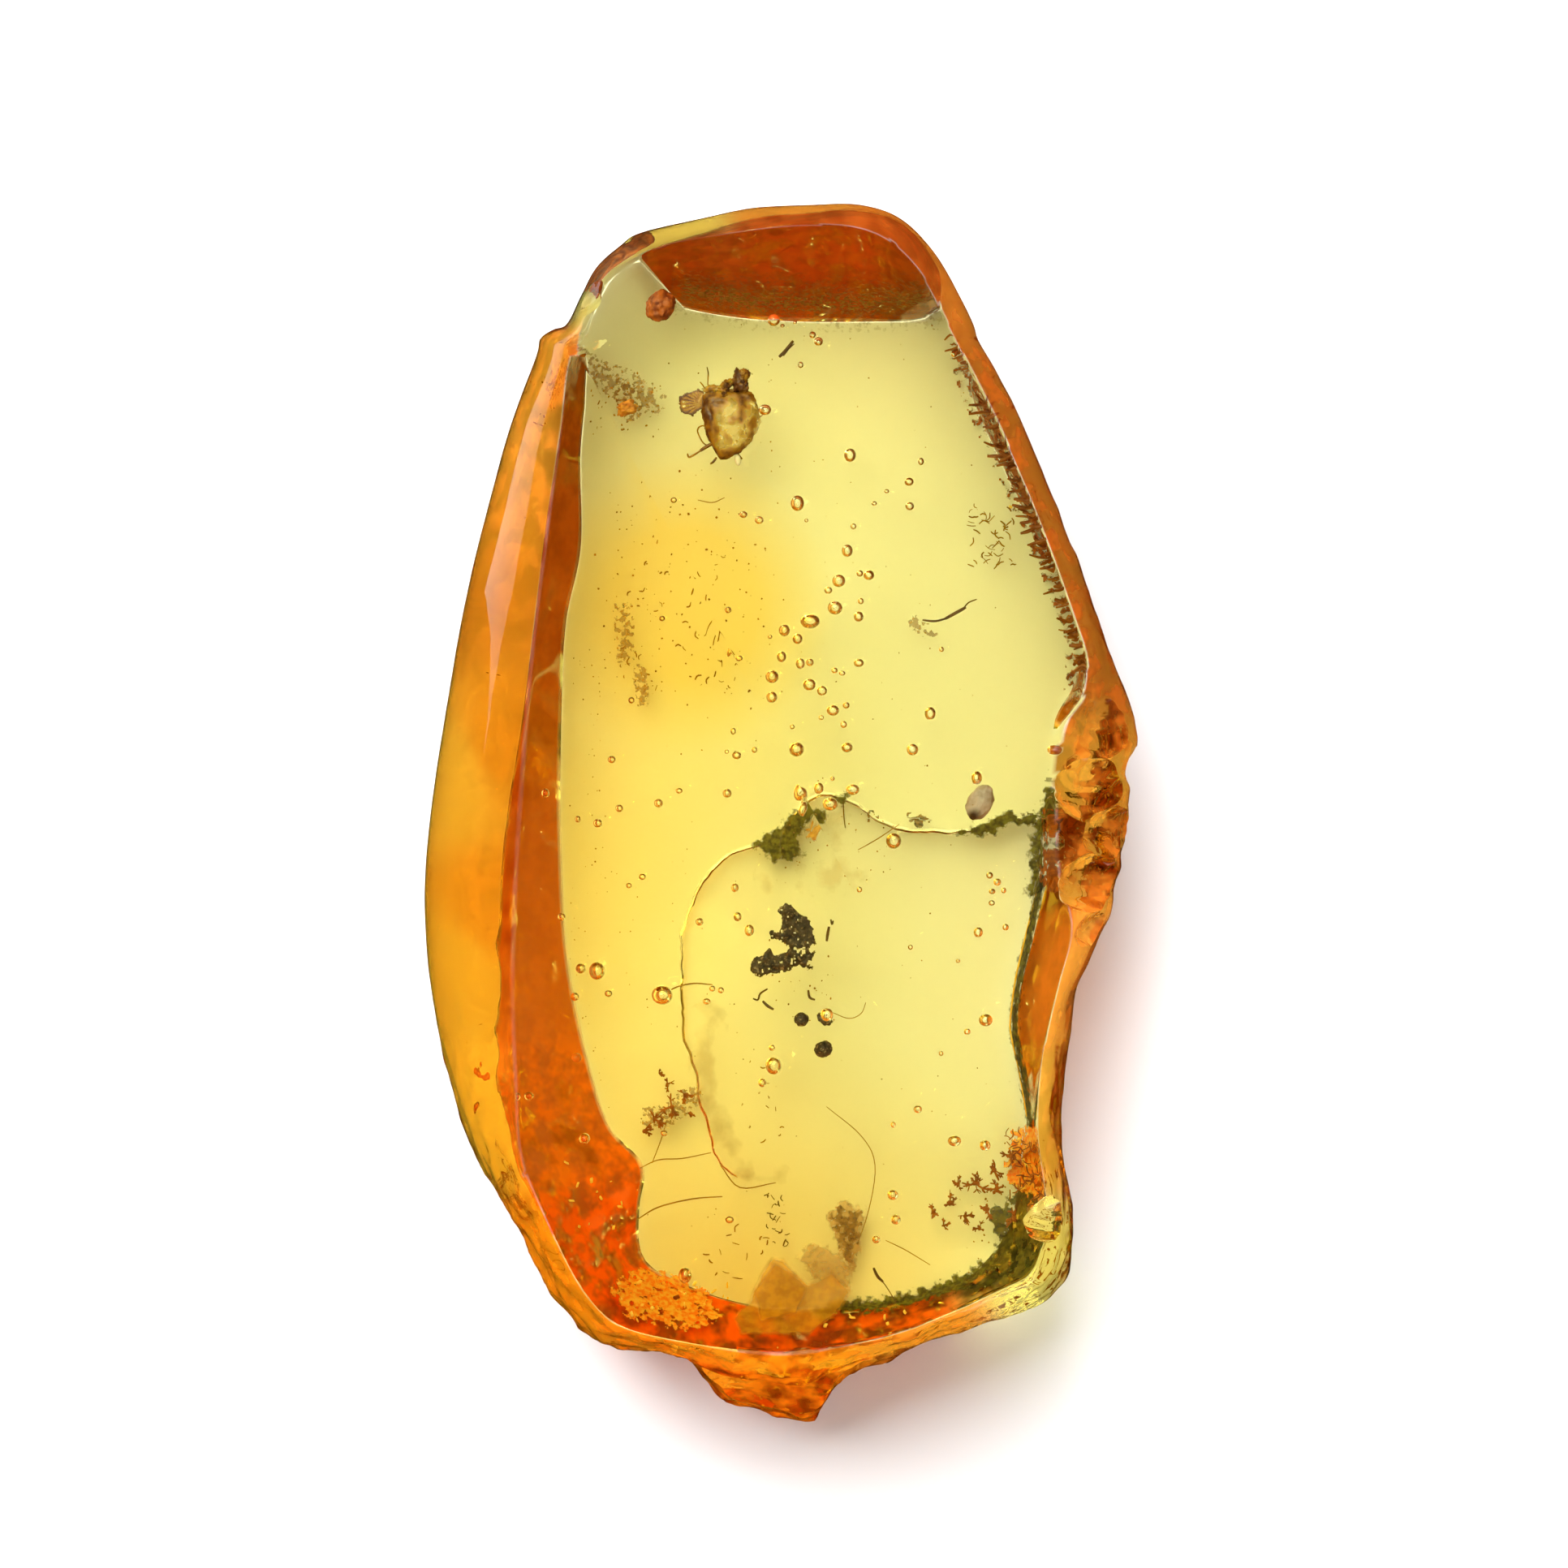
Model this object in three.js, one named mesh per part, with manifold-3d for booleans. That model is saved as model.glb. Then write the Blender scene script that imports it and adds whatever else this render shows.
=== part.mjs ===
// Insect in amber: a flat polished lump of natural amber with a small bug, charred plant
// fragments and a few grains sealed inside it. Units are millimetres. The lump lies on its
// ground underside, +Z is up, +Y runs along the length towards the blunt end, and the origin
// is under the middle of the lump. The amber is parted level with the things sealed in it,
// so that each of them lies in a pocket of its own.
import * as THREE from 'three';
import Module from 'manifold-3d';
import { mergeVertices } from 'three/addons/utils/BufferGeometryUtils.js';

const wasm = await Module();
wasm.setup();

// Driving dimensions of the lump
const THICKNESS = 11.4;
const TOP_TILT_X = -0.075;
const TOP_TILT_Y = -0.035;
const PARTING_HEIGHT = 6;
const POCKET_GAP = 0.3;

const COLOURS = {
  amber: 0xf2b632,
  chitin: 0x8a5212,
  charcoal: 0x2c2721,
  brown: 0x7c3008,
  orange: 0xb4630f,
  pale: 0xa9957f,
};

// Outline of the lump seen from above, clockwise from the blunt end
const OUTLINE = [
  [1.2, 25.1], [3.1, 25.1], [4.7, 24.6], [6.2, 23.2], [7.5, 21.0], [7.9, 20.1], [8.0, 19.7],
  [8.6, 18.6], [9.7, 16.5], [11.2, 13.0], [11.8, 11.3], [12.0, 10.9], [12.9, 8.5], [13.6, 6.6],
  [14.6, 3.9], [14.7, 3.0], [14.3, 1.8], [14.3, 1.3], [14.1, 0.3], [14.2, -0.6], [14.0, -1.4],
  [14.0, -2.0], [13.7, -2.7], [13.6, -3.5], [13.2, -4.4], [12.6, -5.9], [12.1, -7.0],
  [11.8, -9.2], [11.5, -11.7], [11.5, -13.1], [12.0, -15.4], [12.1, -16.9], [11.7, -18.8],
  [11.1, -19.6], [10.1, -20.2], [6.5, -21.5], [4.4, -22.3], [3.4, -22.7], [2.4, -23.4],
  [1.6, -24.6], [1.2, -25.0], [0.9, -25.1], [-0.6, -24.7], [-2.6, -23.8], [-3.7, -22.7],
  [-4.1, -22.3], [-6.7, -21.8], [-7.5, -21.6], [-7.9, -21.4], [-9.2, -19.9], [-11.0, -16.7],
  [-12.4, -14.4], [-13.0, -13.1], [-13.3, -12.1], [-14.3, -7.9], [-14.7, -4.0], [-14.6, -0.9],
  [-13.7, 5.2], [-12.6, 10.6], [-11.2, 15.9], [-10.0, 19.2], [-9.9, 19.7], [-9.3, 20.1],
  [-8.9, 20.2], [-8.2, 21.5], [-7.6, 22.6], [-6.5, 23.6], [-6.1, 23.9], [-3.2, 24.6],
  [-1.1, 25.0],
];

// Edge of the flat underside: inside it the light passes straight through
const BOTTOM_FACE = [
  [-6.1, 22.9], [-5.4, 21.3], [-4.1, 20.9], [-1.5, 20.5], [3.0, 20.4], [5.8, 20.6], [6.5, 21.2],
  [7.2, 19.5], [7.6, 17.3], [8.6, 15.0], [9.9, 12.3], [11.2, 9.9], [12.2, 7.6], [11.9, 5.6],
  [11.0, 3.9], [11.0, 2.0], [10.5, 0.0], [10.3, -2.3], [9.8, -4.5], [9.1, -8.0], [9.2, -10.0],
  [9.7, -12.0], [9.6, -14.5], [9.0, -17.3], [7.6, -19.0], [5.0, -20.0], [2.3, -20.3],
  [-1.0, -20.3], [-4.0, -19.5], [-6.0, -18.3], [-6.2, -16.2], [-6.0, -14.5], [-7.3, -13.0],
  [-8.3, -10.0], [-9.1, -6.0], [-9.4, -1.0], [-9.4, 4.0], [-9.2, 8.0], [-8.6, 11.0],
  [-8.6, 15.0], [-8.3, 18.3], [-8.4, 19.3], [-8.0, 20.8], [-7.2, 22.3],
];

// Edge of the polished top face
const TOP_FACE = [
  [-5.6, 23.0], [-2.5, 23.7], [1.5, 24.1], [3.8, 23.7], [5.4, 22.4], [6.9, 19.7], [8.9, 15.7],
  [10.5, 12.0], [11.8, 8.4], [12.4, 6.4], [12.2, 5.0], [11.3, 3.9], [11.0, 2.0], [10.9, 0.0],
  [11.1, -2.4], [11.7, -4.4], [11.3, -6.4], [10.6, -9.5], [10.4, -12.6], [10.7, -16.2],
  [10.1, -18.3], [8.3, -19.4], [4.2, -21.0], [0.0, -21.6], [-4.0, -21.2], [-6.8, -20.4],
  [-8.1, -19.0], [-9.6, -16.0], [-10.5, -13.6], [-10.7, -10.5], [-10.8, -7.0], [-10.7, -3.0],
  [-10.4, 2.0], [-10.0, 7.0], [-9.4, 12.0], [-8.9, 16.0], [-8.6, 18.6], [-8.0, 20.2],
  [-7.2, 21.9],
];

// Height of the widest line of the lump, by direction from its middle in degrees
const GIRDLE = [
  [0, 7.6], [40, 7.8], [75, 8.6], [95, 8.6], [115, 7.0], [140, 5.6], [180, 5.4], [215, 5.2],
  [245, 4.6], [262, 3.2], [272, 2.4], [282, 3.0], [300, 4.6], [325, 6.4], [345, 7.2],
];
const SHOULDER_ROUNDNESS = 1.7;
const BOTTOM_BULGE = 0.8;

// Line down the middle that the loft's rays run towards
const SPINE_X = 0.5;
const SPINE_LOW = -14;
const SPINE_HIGH = 15;

const RIM_SAMPLES = 120;
const BEVEL_RINGS = 4;
const RING_SPACING = 1.3;

// Shell-like chips broken out of the rim: centre, then radii along X, Y and Z
const CHIPS = [
  [[14.7, 3.7, 12.2], [3.3, 2.3, 3.5]],
  [[13.7, 1.2, 12.4], [2.9, 1.9, 4.0]],
  [[15.3, -0.6, 10.4], [3.1, 1.7, 3.2]],
  [[13.9, -2.6, 12.2], [2.9, 1.7, 4.1]],
  [[14.2, -4.7, 10.9], [2.2, 1.5, 3.0]],
  [[16.4, 2.0, 7.2], [2.5, 1.5, 2.6]],
  [[16.2, -1.6, 6.4], [2.5, 1.5, 2.4]],
  [[15.9, 8.0, 11.6], [3.3, 3.6, 3.0]],
  [[12.6, -16.3, 12.6], [2.9, 1.5, 3.4]],
  [[-9.2, 21.5, 12.4], [2.1, 1.4, 3.0]],
  [[-8.2, 19.3, 13.0], [1.3, 1.1, 1.9]],
  [[15.8, 1.2, 1.6], [3.6, 3.2, 3.4]],
  [[15.4, -3.4, 2.0], [3.4, 3.4, 3.6]],
  [[13.2, -10.2, 1.0], [2.6, 4.0, 3.6]],
  [[-10.6, -18.6, 0.4], [3.4, 3.6, 2.8]],
];
const CHIP_DETAIL = 3;

// The ledge at the pointed end: the lump breaks down from a ridge to a thin tongue
const LEDGE_RIDGE = { y: -21.9, z: 9.6 };
const LEDGE_SLOPE_DEGREES = 58;
const LEDGE_TURN_DEGREES = -1.5;

// Shallow basin split out of the underside, deepest at the blunt end's side
const BASIN_OUTLINE = [
  [0.2, 0.1], [1.2, 0.9], [2.6, 0.6], [4.2, -0.3], [5.9, -0.5], [7.4, -0.6], [9.2, 0.0],
  [10.6, -0.4], [12.5, -2.6], [12.5, -6.0], [11.0, -12.5], [8.5, -14.8], [3.4, -15.0],
  [-0.4, -15.4], [-1.9, -15.1], [-2.8, -14.4], [-3.4, -13.0], [-3.9, -11.0], [-4.4, -8.4],
  [-4.5, -6.0], [-4.3, -4.4], [-3.4, -2.5], [-2.4, -1.5], [-0.6, -0.9],
];
const BASIN_DEPTH = 0.9;
const BASIN_RIM_BEVEL = 0.45;
const BASIN_TILT_DEGREES = 2.6;

// Small bug with a shield-shaped body, seen from above: its outline about its middle
const INSECT_PLACE = [-2.2, 16.0];
const INSECT_OUTLINE = [
  [-0.95, 1.42], [-0.2, 1.5], [0.67, 1.45], [0.97, 1.2], [1.17, 0.23], [0.9, -0.4], [0.27, -1.1],
  [-0.4, -1.37], [-0.75, -0.85], [-1.03, -0.27], [-1.2, 0.57], [-1.12, 1.1],
];
const INSECT_HEIGHT = 1.1;
const DOME_DETAIL = 3;
const INSECT_LOBES = {
  head: [[0.4, 1.9, 0.0], [0.32, 0.58, 0.3]],
  left_eye: [[0.16, 2.2, 0.1], [0.12, 0.14, 0.13]],
  right_eye: [[0.64, 2.2, 0.1], [0.12, 0.14, 0.13]],
  shoulder: [[-0.5, 1.5, 0.05], [0.52, 0.42, 0.3]],
  fan_root: [[-1.1, 1.12, 0.05], [0.3, 0.22, 0.18]],
  back_ridge: [[0.12, 0.15, 0.3], [0.28, 0.95, 0.34]],
};
const FAN_LENGTH = 0.92;
const FAN_VANES = 7;
const FAN_FROM_DEGREES = 148;
const FAN_TO_DEGREES = 218;
const FAN_VANE = { width: 0.08, height: 0.12 };
const LIMB_RADIUS = 0.055;
const LIMBS = {
  antenna: [[-0.85, 1.6, 0.1], [-0.97, 1.9, 0.15], [-0.98, 2.2, 0.2], [-1.02, 2.45, 0.2]],
  mouth_bristle: [[-0.8, 1.45, -0.05], [-1.1, 1.63, -0.1], [-1.27, 1.83, -0.1]],
  front_leg: [[0.9, 0.7, -0.1], [1.15, 0.9, -0.3], [0.85, 1.15, -0.45], [0.4, 1.3, -0.45]],
  middle_leg: [[-0.95, 0.1, -0.1], [-1.32, 0, -0.1], [-1.36, -0.25, -0.1], [-1.1, -0.7, -0.1]],
  hind_leg: [[-0.7, -0.5, -0.1], [-1.1, -0.82, -0.1], [-1.42, -1.12, 0], [-1.8, -1.08, 0]],
  far_hind_leg: [[0.45, -0.6, -0.1], [0.72, -0.95, -0.3], [0.55, -1.35, -0.4]],
};
const INSECT_POCKET_PLACE = [-2.35, 16.35];
const INSECT_POCKET = [2.45, 2.75, 1.15];

// Charred plant fragment, a thin porous flake
const CHAR_PLACE = [0, -5.0];
const CHAR_OUTLINE = [
  [0.08, 1.5], [0.42, 1.2], [0.79, 1.0], [1.0, 0.8], [1.13, 0.5], [1.17, 0.17], [1.3, -0.12],
  [1.3, -0.4], [1.12, -0.73], [1.18, -1.03], [1.07, -1.23], [0.77, -1.2], [0.55, -1.1],
  [0.27, -1.23], [0.0, -1.33], [-0.63, -1.4], [-0.91, -1.53], [-1.37, -1.4], [-1.27, -0.73],
  [-0.98, -0.67], [-0.67, -0.33], [-0.47, -0.6], [-0.16, -0.6], [0.08, -0.46], [-0.06, -0.18],
  [-0.64, 0.09], [-0.67, 0.3], [-0.53, 0.43], [-0.37, 0.3], [-0.16, 0.46], [-0.13, 0.8],
  [-0.28, 1.27], [-0.09, 1.41],
];
const CHAR_HOLES = [[0.62, 0.42, 0.09], [0.72, -0.22, 0.11], [0.3, -0.72, 0.09]];
const CHAR_LUMPS = [[0.36, 0.7, 0.36], [0.82, -0.8, 0.34], [-0.3, -1.1, 0.3], [-0.9, -1.1, 0.33]];
const CHAR_THICKNESS = 0.5;
const CHAR_POCKET = [1.95, 2.1, 0.75];

// Rounded grains: place, radii along X, Y and Z, a turn about Z in degrees, and the look
const GRAINS = {
  charred_grain_1: {
    place: [0.67, -8.27], radii: [0.3, 0.28, 0.26], turn: 0, colour: COLOURS.charcoal, roughness: 0.9,
  },
  charred_grain_2: {
    place: [1.6, -8.25], radii: [0.34, 0.22, 0.24], turn: -35, colour: COLOURS.charcoal, roughness: 0.9,
  },
  charred_grain_3: {
    place: [1.57, -9.5], radii: [0.37, 0.32, 0.3], turn: 20, colour: COLOURS.charcoal, roughness: 0.9,
  },
  brown_grain: {
    place: [-5.07, 20.95], radii: [0.56, 0.66, 0.45], turn: -30, colour: COLOURS.brown, roughness: 0.6,
  },
  orange_grain: {
    place: [-6.45, 16.75], radii: [0.4, 0.3, 0.3], turn: 15, colour: COLOURS.orange, roughness: 0.6,
  },
  pale_pellet: {
    place: [8.0, 0.6], radii: [0.5, 0.78, 0.4], turn: -25, colour: COLOURS.pale, roughness: 0.4,
  },
};
const GRAIN_DETAIL = 2;
const GRAIN_ROUGHNESS = 0.07;

// Conversion to and from a solid that can be joined and cut
function solidOf(geometry) {
  const bare = new THREE.BufferGeometry().setAttribute('position', geometry.getAttribute('position'));
  if (geometry.index) bare.setIndex(geometry.index);
  const merged = mergeVertices(bare, 1e-4);
  return new wasm.Manifold(new wasm.Mesh({
    numProp: 3,
    vertProperties: merged.getAttribute('position').array,
    triVerts: new Uint32Array(merged.index.array),
  }));
}

function geometryOf(solid) {
  const mesh = solid.getMesh();
  const geometry = new THREE.BufferGeometry();
  geometry.setAttribute('position', new THREE.BufferAttribute(mesh.vertProperties, 3));
  geometry.setIndex(new THREE.BufferAttribute(mesh.triVerts, 1));
  geometry.computeVertexNormals();
  return geometry;
}

function joined(geometries) {
  return geometries.map(solidOf).reduce((whole, piece) => whole.add(piece));
}

function ellipsoid([x, y, z], [rx, ry, rz], detail = CHIP_DETAIL) {
  return new THREE.IcosahedronGeometry(1, detail).scale(rx, ry, rz).translate(x, y, z);
}

function tube(points, radius, steps, sides = 6) {
  const path = new THREE.CatmullRomCurve3(points.map((p) => new THREE.Vector3(...p)));
  const ring = new THREE.Shape();
  for (let i = 0; i < sides; i += 1) {
    const angle = (2 * Math.PI * i) / sides;
    const at = [radius * Math.cos(angle), radius * Math.sin(angle)];
    if (i === 0) ring.moveTo(...at);
    else ring.lineTo(...at);
  }
  return new THREE.ExtrudeGeometry(ring, { extrudePath: path, steps, bevelEnabled: false });
}

// The lump's body: rays run from the outline to the spine, and the bevels end on the faces
const topHeight = (x, y) => THICKNESS + TOP_TILT_X * x + TOP_TILT_Y * y;

function girdleHeight(x, y) {
  const degrees = (THREE.MathUtils.radToDeg(Math.atan2(y, x)) + 360) % 360;
  const after = GIRDLE.findIndex(([angle]) => angle > degrees);
  const [a0, h0] = GIRDLE[(after === -1 ? GIRDLE.length : after) - 1];
  const [a1, h1] = after === -1 ? [360, GIRDLE[0][1]] : GIRDLE[after];
  const share = THREE.MathUtils.smoothstep(degrees, a0, a1);
  return h0 + (h1 - h0) * share;
}

// Point at which the ray from a point of the outline to the spine enters the face
function faceEntry([x, y], face) {
  const dx = SPINE_X - x;
  const dy = THREE.MathUtils.clamp(y, SPINE_LOW, SPINE_HIGH) - y;
  let nearest = 1;
  face.forEach(([ax, ay], i) => {
    const [bx, by] = face[(i + 1) % face.length];
    const cross = dx * (by - ay) - dy * (bx - ax);
    if (Math.abs(cross) < 1e-9) return;
    const share = ((ax - x) * (by - ay) - (ay - y) * (bx - ax)) / cross;
    const along = ((ax - x) * dy - (ay - y) * dx) / cross;
    if (along >= 0 && along <= 1 && share > 0) nearest = Math.min(nearest, share);
  });
  return [x + dx * nearest, y + dy * nearest];
}

// A worn shoulder: upright at the widest line and level where it meets the top face
function shoulderProfile(share) {
  return (1 - (1 - share) ** SHOULDER_ROUNDNESS) ** (1 / SHOULDER_ROUNDNESS);
}

function lumpGeometry() {
  const curve = new THREE.CatmullRomCurve3(
    OUTLINE.map(([x, y]) => new THREE.Vector3(x, y, 0)), true, 'centripetal',
  );
  const rim = Array.from({ length: RIM_SAMPLES }, (_, i) => curve.getPoint(i / RIM_SAMPLES));
  const positions = rim.flatMap(({ x, y }) => [x, y, girdleHeight(x, y)]);
  const triangles = [];

  const addSide = (face, faceHeight, profile, faceUp) => {
    const inner = rim.map(({ x, y }) => faceEntry([x, y], face));
    const addTriangle = (a, b, c) => triangles.push(...(faceUp ? [a, b, c] : [a, c, b]));
    let outerRing = 0;
    for (let ring = 1; ring <= BEVEL_RINGS; ring += 1) {
      const share = (ring / BEVEL_RINGS) ** RING_SPACING;
      const thisRing = positions.length / 3;
      rim.forEach(({ x, y }, i) => {
        const [ix, iy] = inner[i];
        const low = girdleHeight(x, y);
        const z = low + (faceHeight(ix, iy) - low) * profile(share);
        positions.push(x + (ix - x) * share, y + (iy - y) * share, z);
      });
      for (let i = 0; i < RIM_SAMPLES; i += 1) {
        const next = (i + 1) % RIM_SAMPLES;
        addTriangle(outerRing + i, thisRing + i, outerRing + next);
        addTriangle(outerRing + next, thisRing + i, thisRing + next);
      }
      outerRing = thisRing;
    }
    const contour = inner.map(([x, y]) => new THREE.Vector2(x, y));
    const clockwise = THREE.ShapeUtils.isClockWise(contour);
    THREE.ShapeUtils.triangulateShape(contour, []).forEach(([a, b, c]) => {
      const turned = clockwise ? [a, c, b] : [a, b, c];
      const up = orientation(turned.map((i) => contour[i])) > 0;
      const [p, q, r] = up ? turned : [turned[0], turned[2], turned[1]];
      addTriangle(outerRing + p, outerRing + q, outerRing + r);
    });
  };
  addSide(TOP_FACE, topHeight, shoulderProfile, true);
  addSide(BOTTOM_FACE, () => 0, (share) => share ** BOTTOM_BULGE, false);

  const geometry = new THREE.BufferGeometry();
  geometry.setAttribute('position', new THREE.Float32BufferAttribute(positions, 3));
  geometry.setIndex(triangles);
  return geometry;
}

function orientation([a, b, c]) {
  return (b.x - a.x) * (c.y - a.y) - (b.y - a.y) * (c.x - a.x);
}

// Solids that are cut away from the body
function ledgeCutter() {
  const side = 40;
  return new THREE.BoxGeometry(side, side, side)
    .translate(0, -side / 2, side / 2)
    .rotateX(THREE.MathUtils.degToRad(LEDGE_SLOPE_DEGREES))
    .rotateZ(THREE.MathUtils.degToRad(LEDGE_TURN_DEGREES))
    .translate(0, LEDGE_RIDGE.y, LEDGE_RIDGE.z);
}

function basinCutter() {
  const shape = new THREE.Shape(BASIN_OUTLINE.map(([x, y]) => new THREE.Vector2(x, y)));
  const depth = 2 * BASIN_DEPTH;
  return new THREE.ExtrudeGeometry(shape, {
    depth,
    bevelEnabled: true,
    bevelSize: BASIN_RIM_BEVEL,
    bevelThickness: BASIN_RIM_BEVEL,
    bevelOffset: -BASIN_RIM_BEVEL,
    bevelSegments: 1,
  })
    .translate(0, 0, BASIN_DEPTH - depth - BASIN_RIM_BEVEL)
    .rotateX(THREE.MathUtils.degToRad(BASIN_TILT_DEGREES));
}

function pocket([x, y], radii) {
  return solidOf(ellipsoid([x, y, PARTING_HEIGHT], radii, 2));
}

function halfSpace(above) {
  const side = 80;
  return solidOf(new THREE.BoxGeometry(side, side, side)
    .translate(0, 0, PARTING_HEIGHT + (above ? side / 2 : -side / 2)));
}

function amberHalves() {
  const cutters = CHIPS.map(([centre, radii]) => solidOf(ellipsoid(centre, radii)));
  cutters.push(solidOf(ledgeCutter()), solidOf(basinCutter()));
  cutters.push(pocket(INSECT_POCKET_PLACE, INSECT_POCKET));
  cutters.push(pocket(CHAR_PLACE, CHAR_POCKET));
  Object.values(GRAINS).forEach(({ place, radii }) => {
    const widest = Math.max(radii[0], radii[1]) + POCKET_GAP;
    cutters.push(pocket(place, [widest, widest, radii[2] + POCKET_GAP]));
  });
  const body = cutters.reduce((left, cutter) => left.subtract(cutter), solidOf(lumpGeometry()));
  return { upper: body.intersect(halfSpace(true)), lower: body.intersect(halfSpace(false)) };
}

// Things sealed in the amber. A dome over and under an outline: a ball whose rim is drawn out to the outline
function domed(outline, height) {
  const geometry = new THREE.IcosahedronGeometry(1, DOME_DETAIL);
  const position = geometry.getAttribute('position');
  for (let i = 0; i < position.count; i += 1) {
    const [x, y, z] = [position.getX(i), position.getY(i), position.getZ(i)];
    const reach = rimDistance(outline, Math.atan2(y, x));
    position.setXYZ(i, x * reach, y * reach, (z * height) / 2);
  }
  return geometry;
}

// Distance from the origin to a star-shaped outline, in the direction of an angle
function rimDistance(outline, angle) {
  const [dx, dy] = [Math.cos(angle), Math.sin(angle)];
  let distance = Infinity;
  outline.forEach(([ax, ay], i) => {
    const [bx, by] = outline[(i + 1) % outline.length];
    const cross = dx * (by - ay) - dy * (bx - ax);
    if (Math.abs(cross) < 1e-9) return;
    const along = (ax * dy - ay * dx) / cross;
    const reach = (ax * (by - ay) - ay * (bx - ax)) / cross;
    if (along > -1e-6 && along < 1 + 1e-6 && reach > 0) distance = Math.min(distance, reach);
  });
  return distance;
}

function insectGeometry() {
  const pieces = [domed(INSECT_OUTLINE, INSECT_HEIGHT)];
  Object.values(INSECT_LOBES).forEach(([centre, radii]) => pieces.push(ellipsoid(centre, radii, 1)));
  const [fanRoot] = INSECT_LOBES.fan_root;
  for (let i = 0; i < FAN_VANES; i += 1) {
    const degrees = THREE.MathUtils.lerp(FAN_FROM_DEGREES, FAN_TO_DEGREES, i / (FAN_VANES - 1));
    pieces.push(new THREE.BoxGeometry(FAN_LENGTH, FAN_VANE.width, FAN_VANE.height)
      .translate(FAN_LENGTH / 2, 0, 0)
      .rotateZ(THREE.MathUtils.degToRad(degrees))
      .translate(...fanRoot));
  }
  Object.values(LIMBS).forEach((points) => pieces.push(tube(points, LIMB_RADIUS, points.length * 2)));
  return geometryOf(joined(pieces));
}

function charGeometry() {
  const shape = new THREE.Shape(CHAR_OUTLINE.map(([x, y]) => new THREE.Vector2(x, y)));
  CHAR_HOLES.forEach(([x, y, radius]) => {
    shape.holes.push(new THREE.Path().absarc(x, y, radius, 0, 2 * Math.PI, false));
  });
  const plate = new THREE.ExtrudeGeometry(shape, {
    depth: CHAR_THICKNESS, curveSegments: 5, bevelEnabled: false,
  }).translate(0, 0, -CHAR_THICKNESS / 2);
  const lumps = CHAR_LUMPS.map(([x, y, radius]) => ellipsoid([x, y, 0], [radius, radius, radius], 2));
  return geometryOf(joined([plate, ...lumps]));
}

// A grain is a ball with low lumps
function grainGeometry(radii) {
  const geometry = new THREE.IcosahedronGeometry(1, GRAIN_DETAIL);
  const position = geometry.getAttribute('position');
  for (let i = 0; i < position.count; i += 1) {
    const point = new THREE.Vector3().fromBufferAttribute(position, i);
    const lumps = Math.sin(5 * point.x + 1) * Math.sin(4 * point.y + 2) + Math.sin(6 * point.z + 3);
    point.multiplyScalar(1 - GRAIN_ROUGHNESS + 0.5 * GRAIN_ROUGHNESS * lumps);
    position.setXYZ(i, point.x * radii[0], point.y * radii[1], point.z * radii[2]);
  }
  return geometryOf(solidOf(geometry));
}

function material(colour, roughness, extra = {}) {
  return new THREE.MeshStandardMaterial({ color: colour, roughness, metalness: 0, ...extra });
}

function addMesh(group, name, geometry, look) {
  const mesh = new THREE.Mesh(geometry, look);
  mesh.name = name;
  group.add(mesh);
  return mesh;
}

const insectInAmber = new THREE.Group();

Object.entries(amberHalves()).forEach(([side, solid]) => {
  const clearAmber = material(COLOURS.amber, 0.05, { transparent: true, opacity: 0.5 });
  addMesh(insectInAmber, `amber_${side}_half`, geometryOf(solid), clearAmber);
});

const insect = addMesh(insectInAmber, 'insect', insectGeometry(), material(COLOURS.chitin, 0.5));
insect.position.set(...INSECT_PLACE, PARTING_HEIGHT);

const charLook = material(COLOURS.charcoal, 0.9);
const fragment = addMesh(insectInAmber, 'charred_fragment', charGeometry(), charLook);
fragment.position.set(...CHAR_PLACE, PARTING_HEIGHT);

Object.entries(GRAINS).forEach(([name, { place, radii, turn, colour, roughness }]) => {
  const grain = addMesh(insectInAmber, name, grainGeometry(radii), material(colour, roughness));
  grain.position.set(...place, PARTING_HEIGHT);
  grain.rotation.z = THREE.MathUtils.degToRad(turn);
});

export default insectInAmber;
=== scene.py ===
"""Insect in amber: the looks of the polished lump and of everything sealed in it."""
import math

import bmesh
import bpy
import numpy as np
from mathutils import Matrix


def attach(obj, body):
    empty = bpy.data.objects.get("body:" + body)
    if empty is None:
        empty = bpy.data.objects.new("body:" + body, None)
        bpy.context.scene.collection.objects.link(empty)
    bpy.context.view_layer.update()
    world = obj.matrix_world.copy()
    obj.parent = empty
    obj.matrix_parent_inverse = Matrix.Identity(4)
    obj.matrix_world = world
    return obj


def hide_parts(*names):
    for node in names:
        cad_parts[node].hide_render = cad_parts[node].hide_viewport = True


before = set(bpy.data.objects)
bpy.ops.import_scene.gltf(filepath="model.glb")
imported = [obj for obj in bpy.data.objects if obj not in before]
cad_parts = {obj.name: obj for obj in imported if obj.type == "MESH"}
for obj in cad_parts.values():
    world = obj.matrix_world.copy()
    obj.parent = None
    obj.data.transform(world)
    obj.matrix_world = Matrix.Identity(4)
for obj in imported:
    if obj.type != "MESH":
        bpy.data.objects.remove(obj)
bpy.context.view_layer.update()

MM = 0.001

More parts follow.
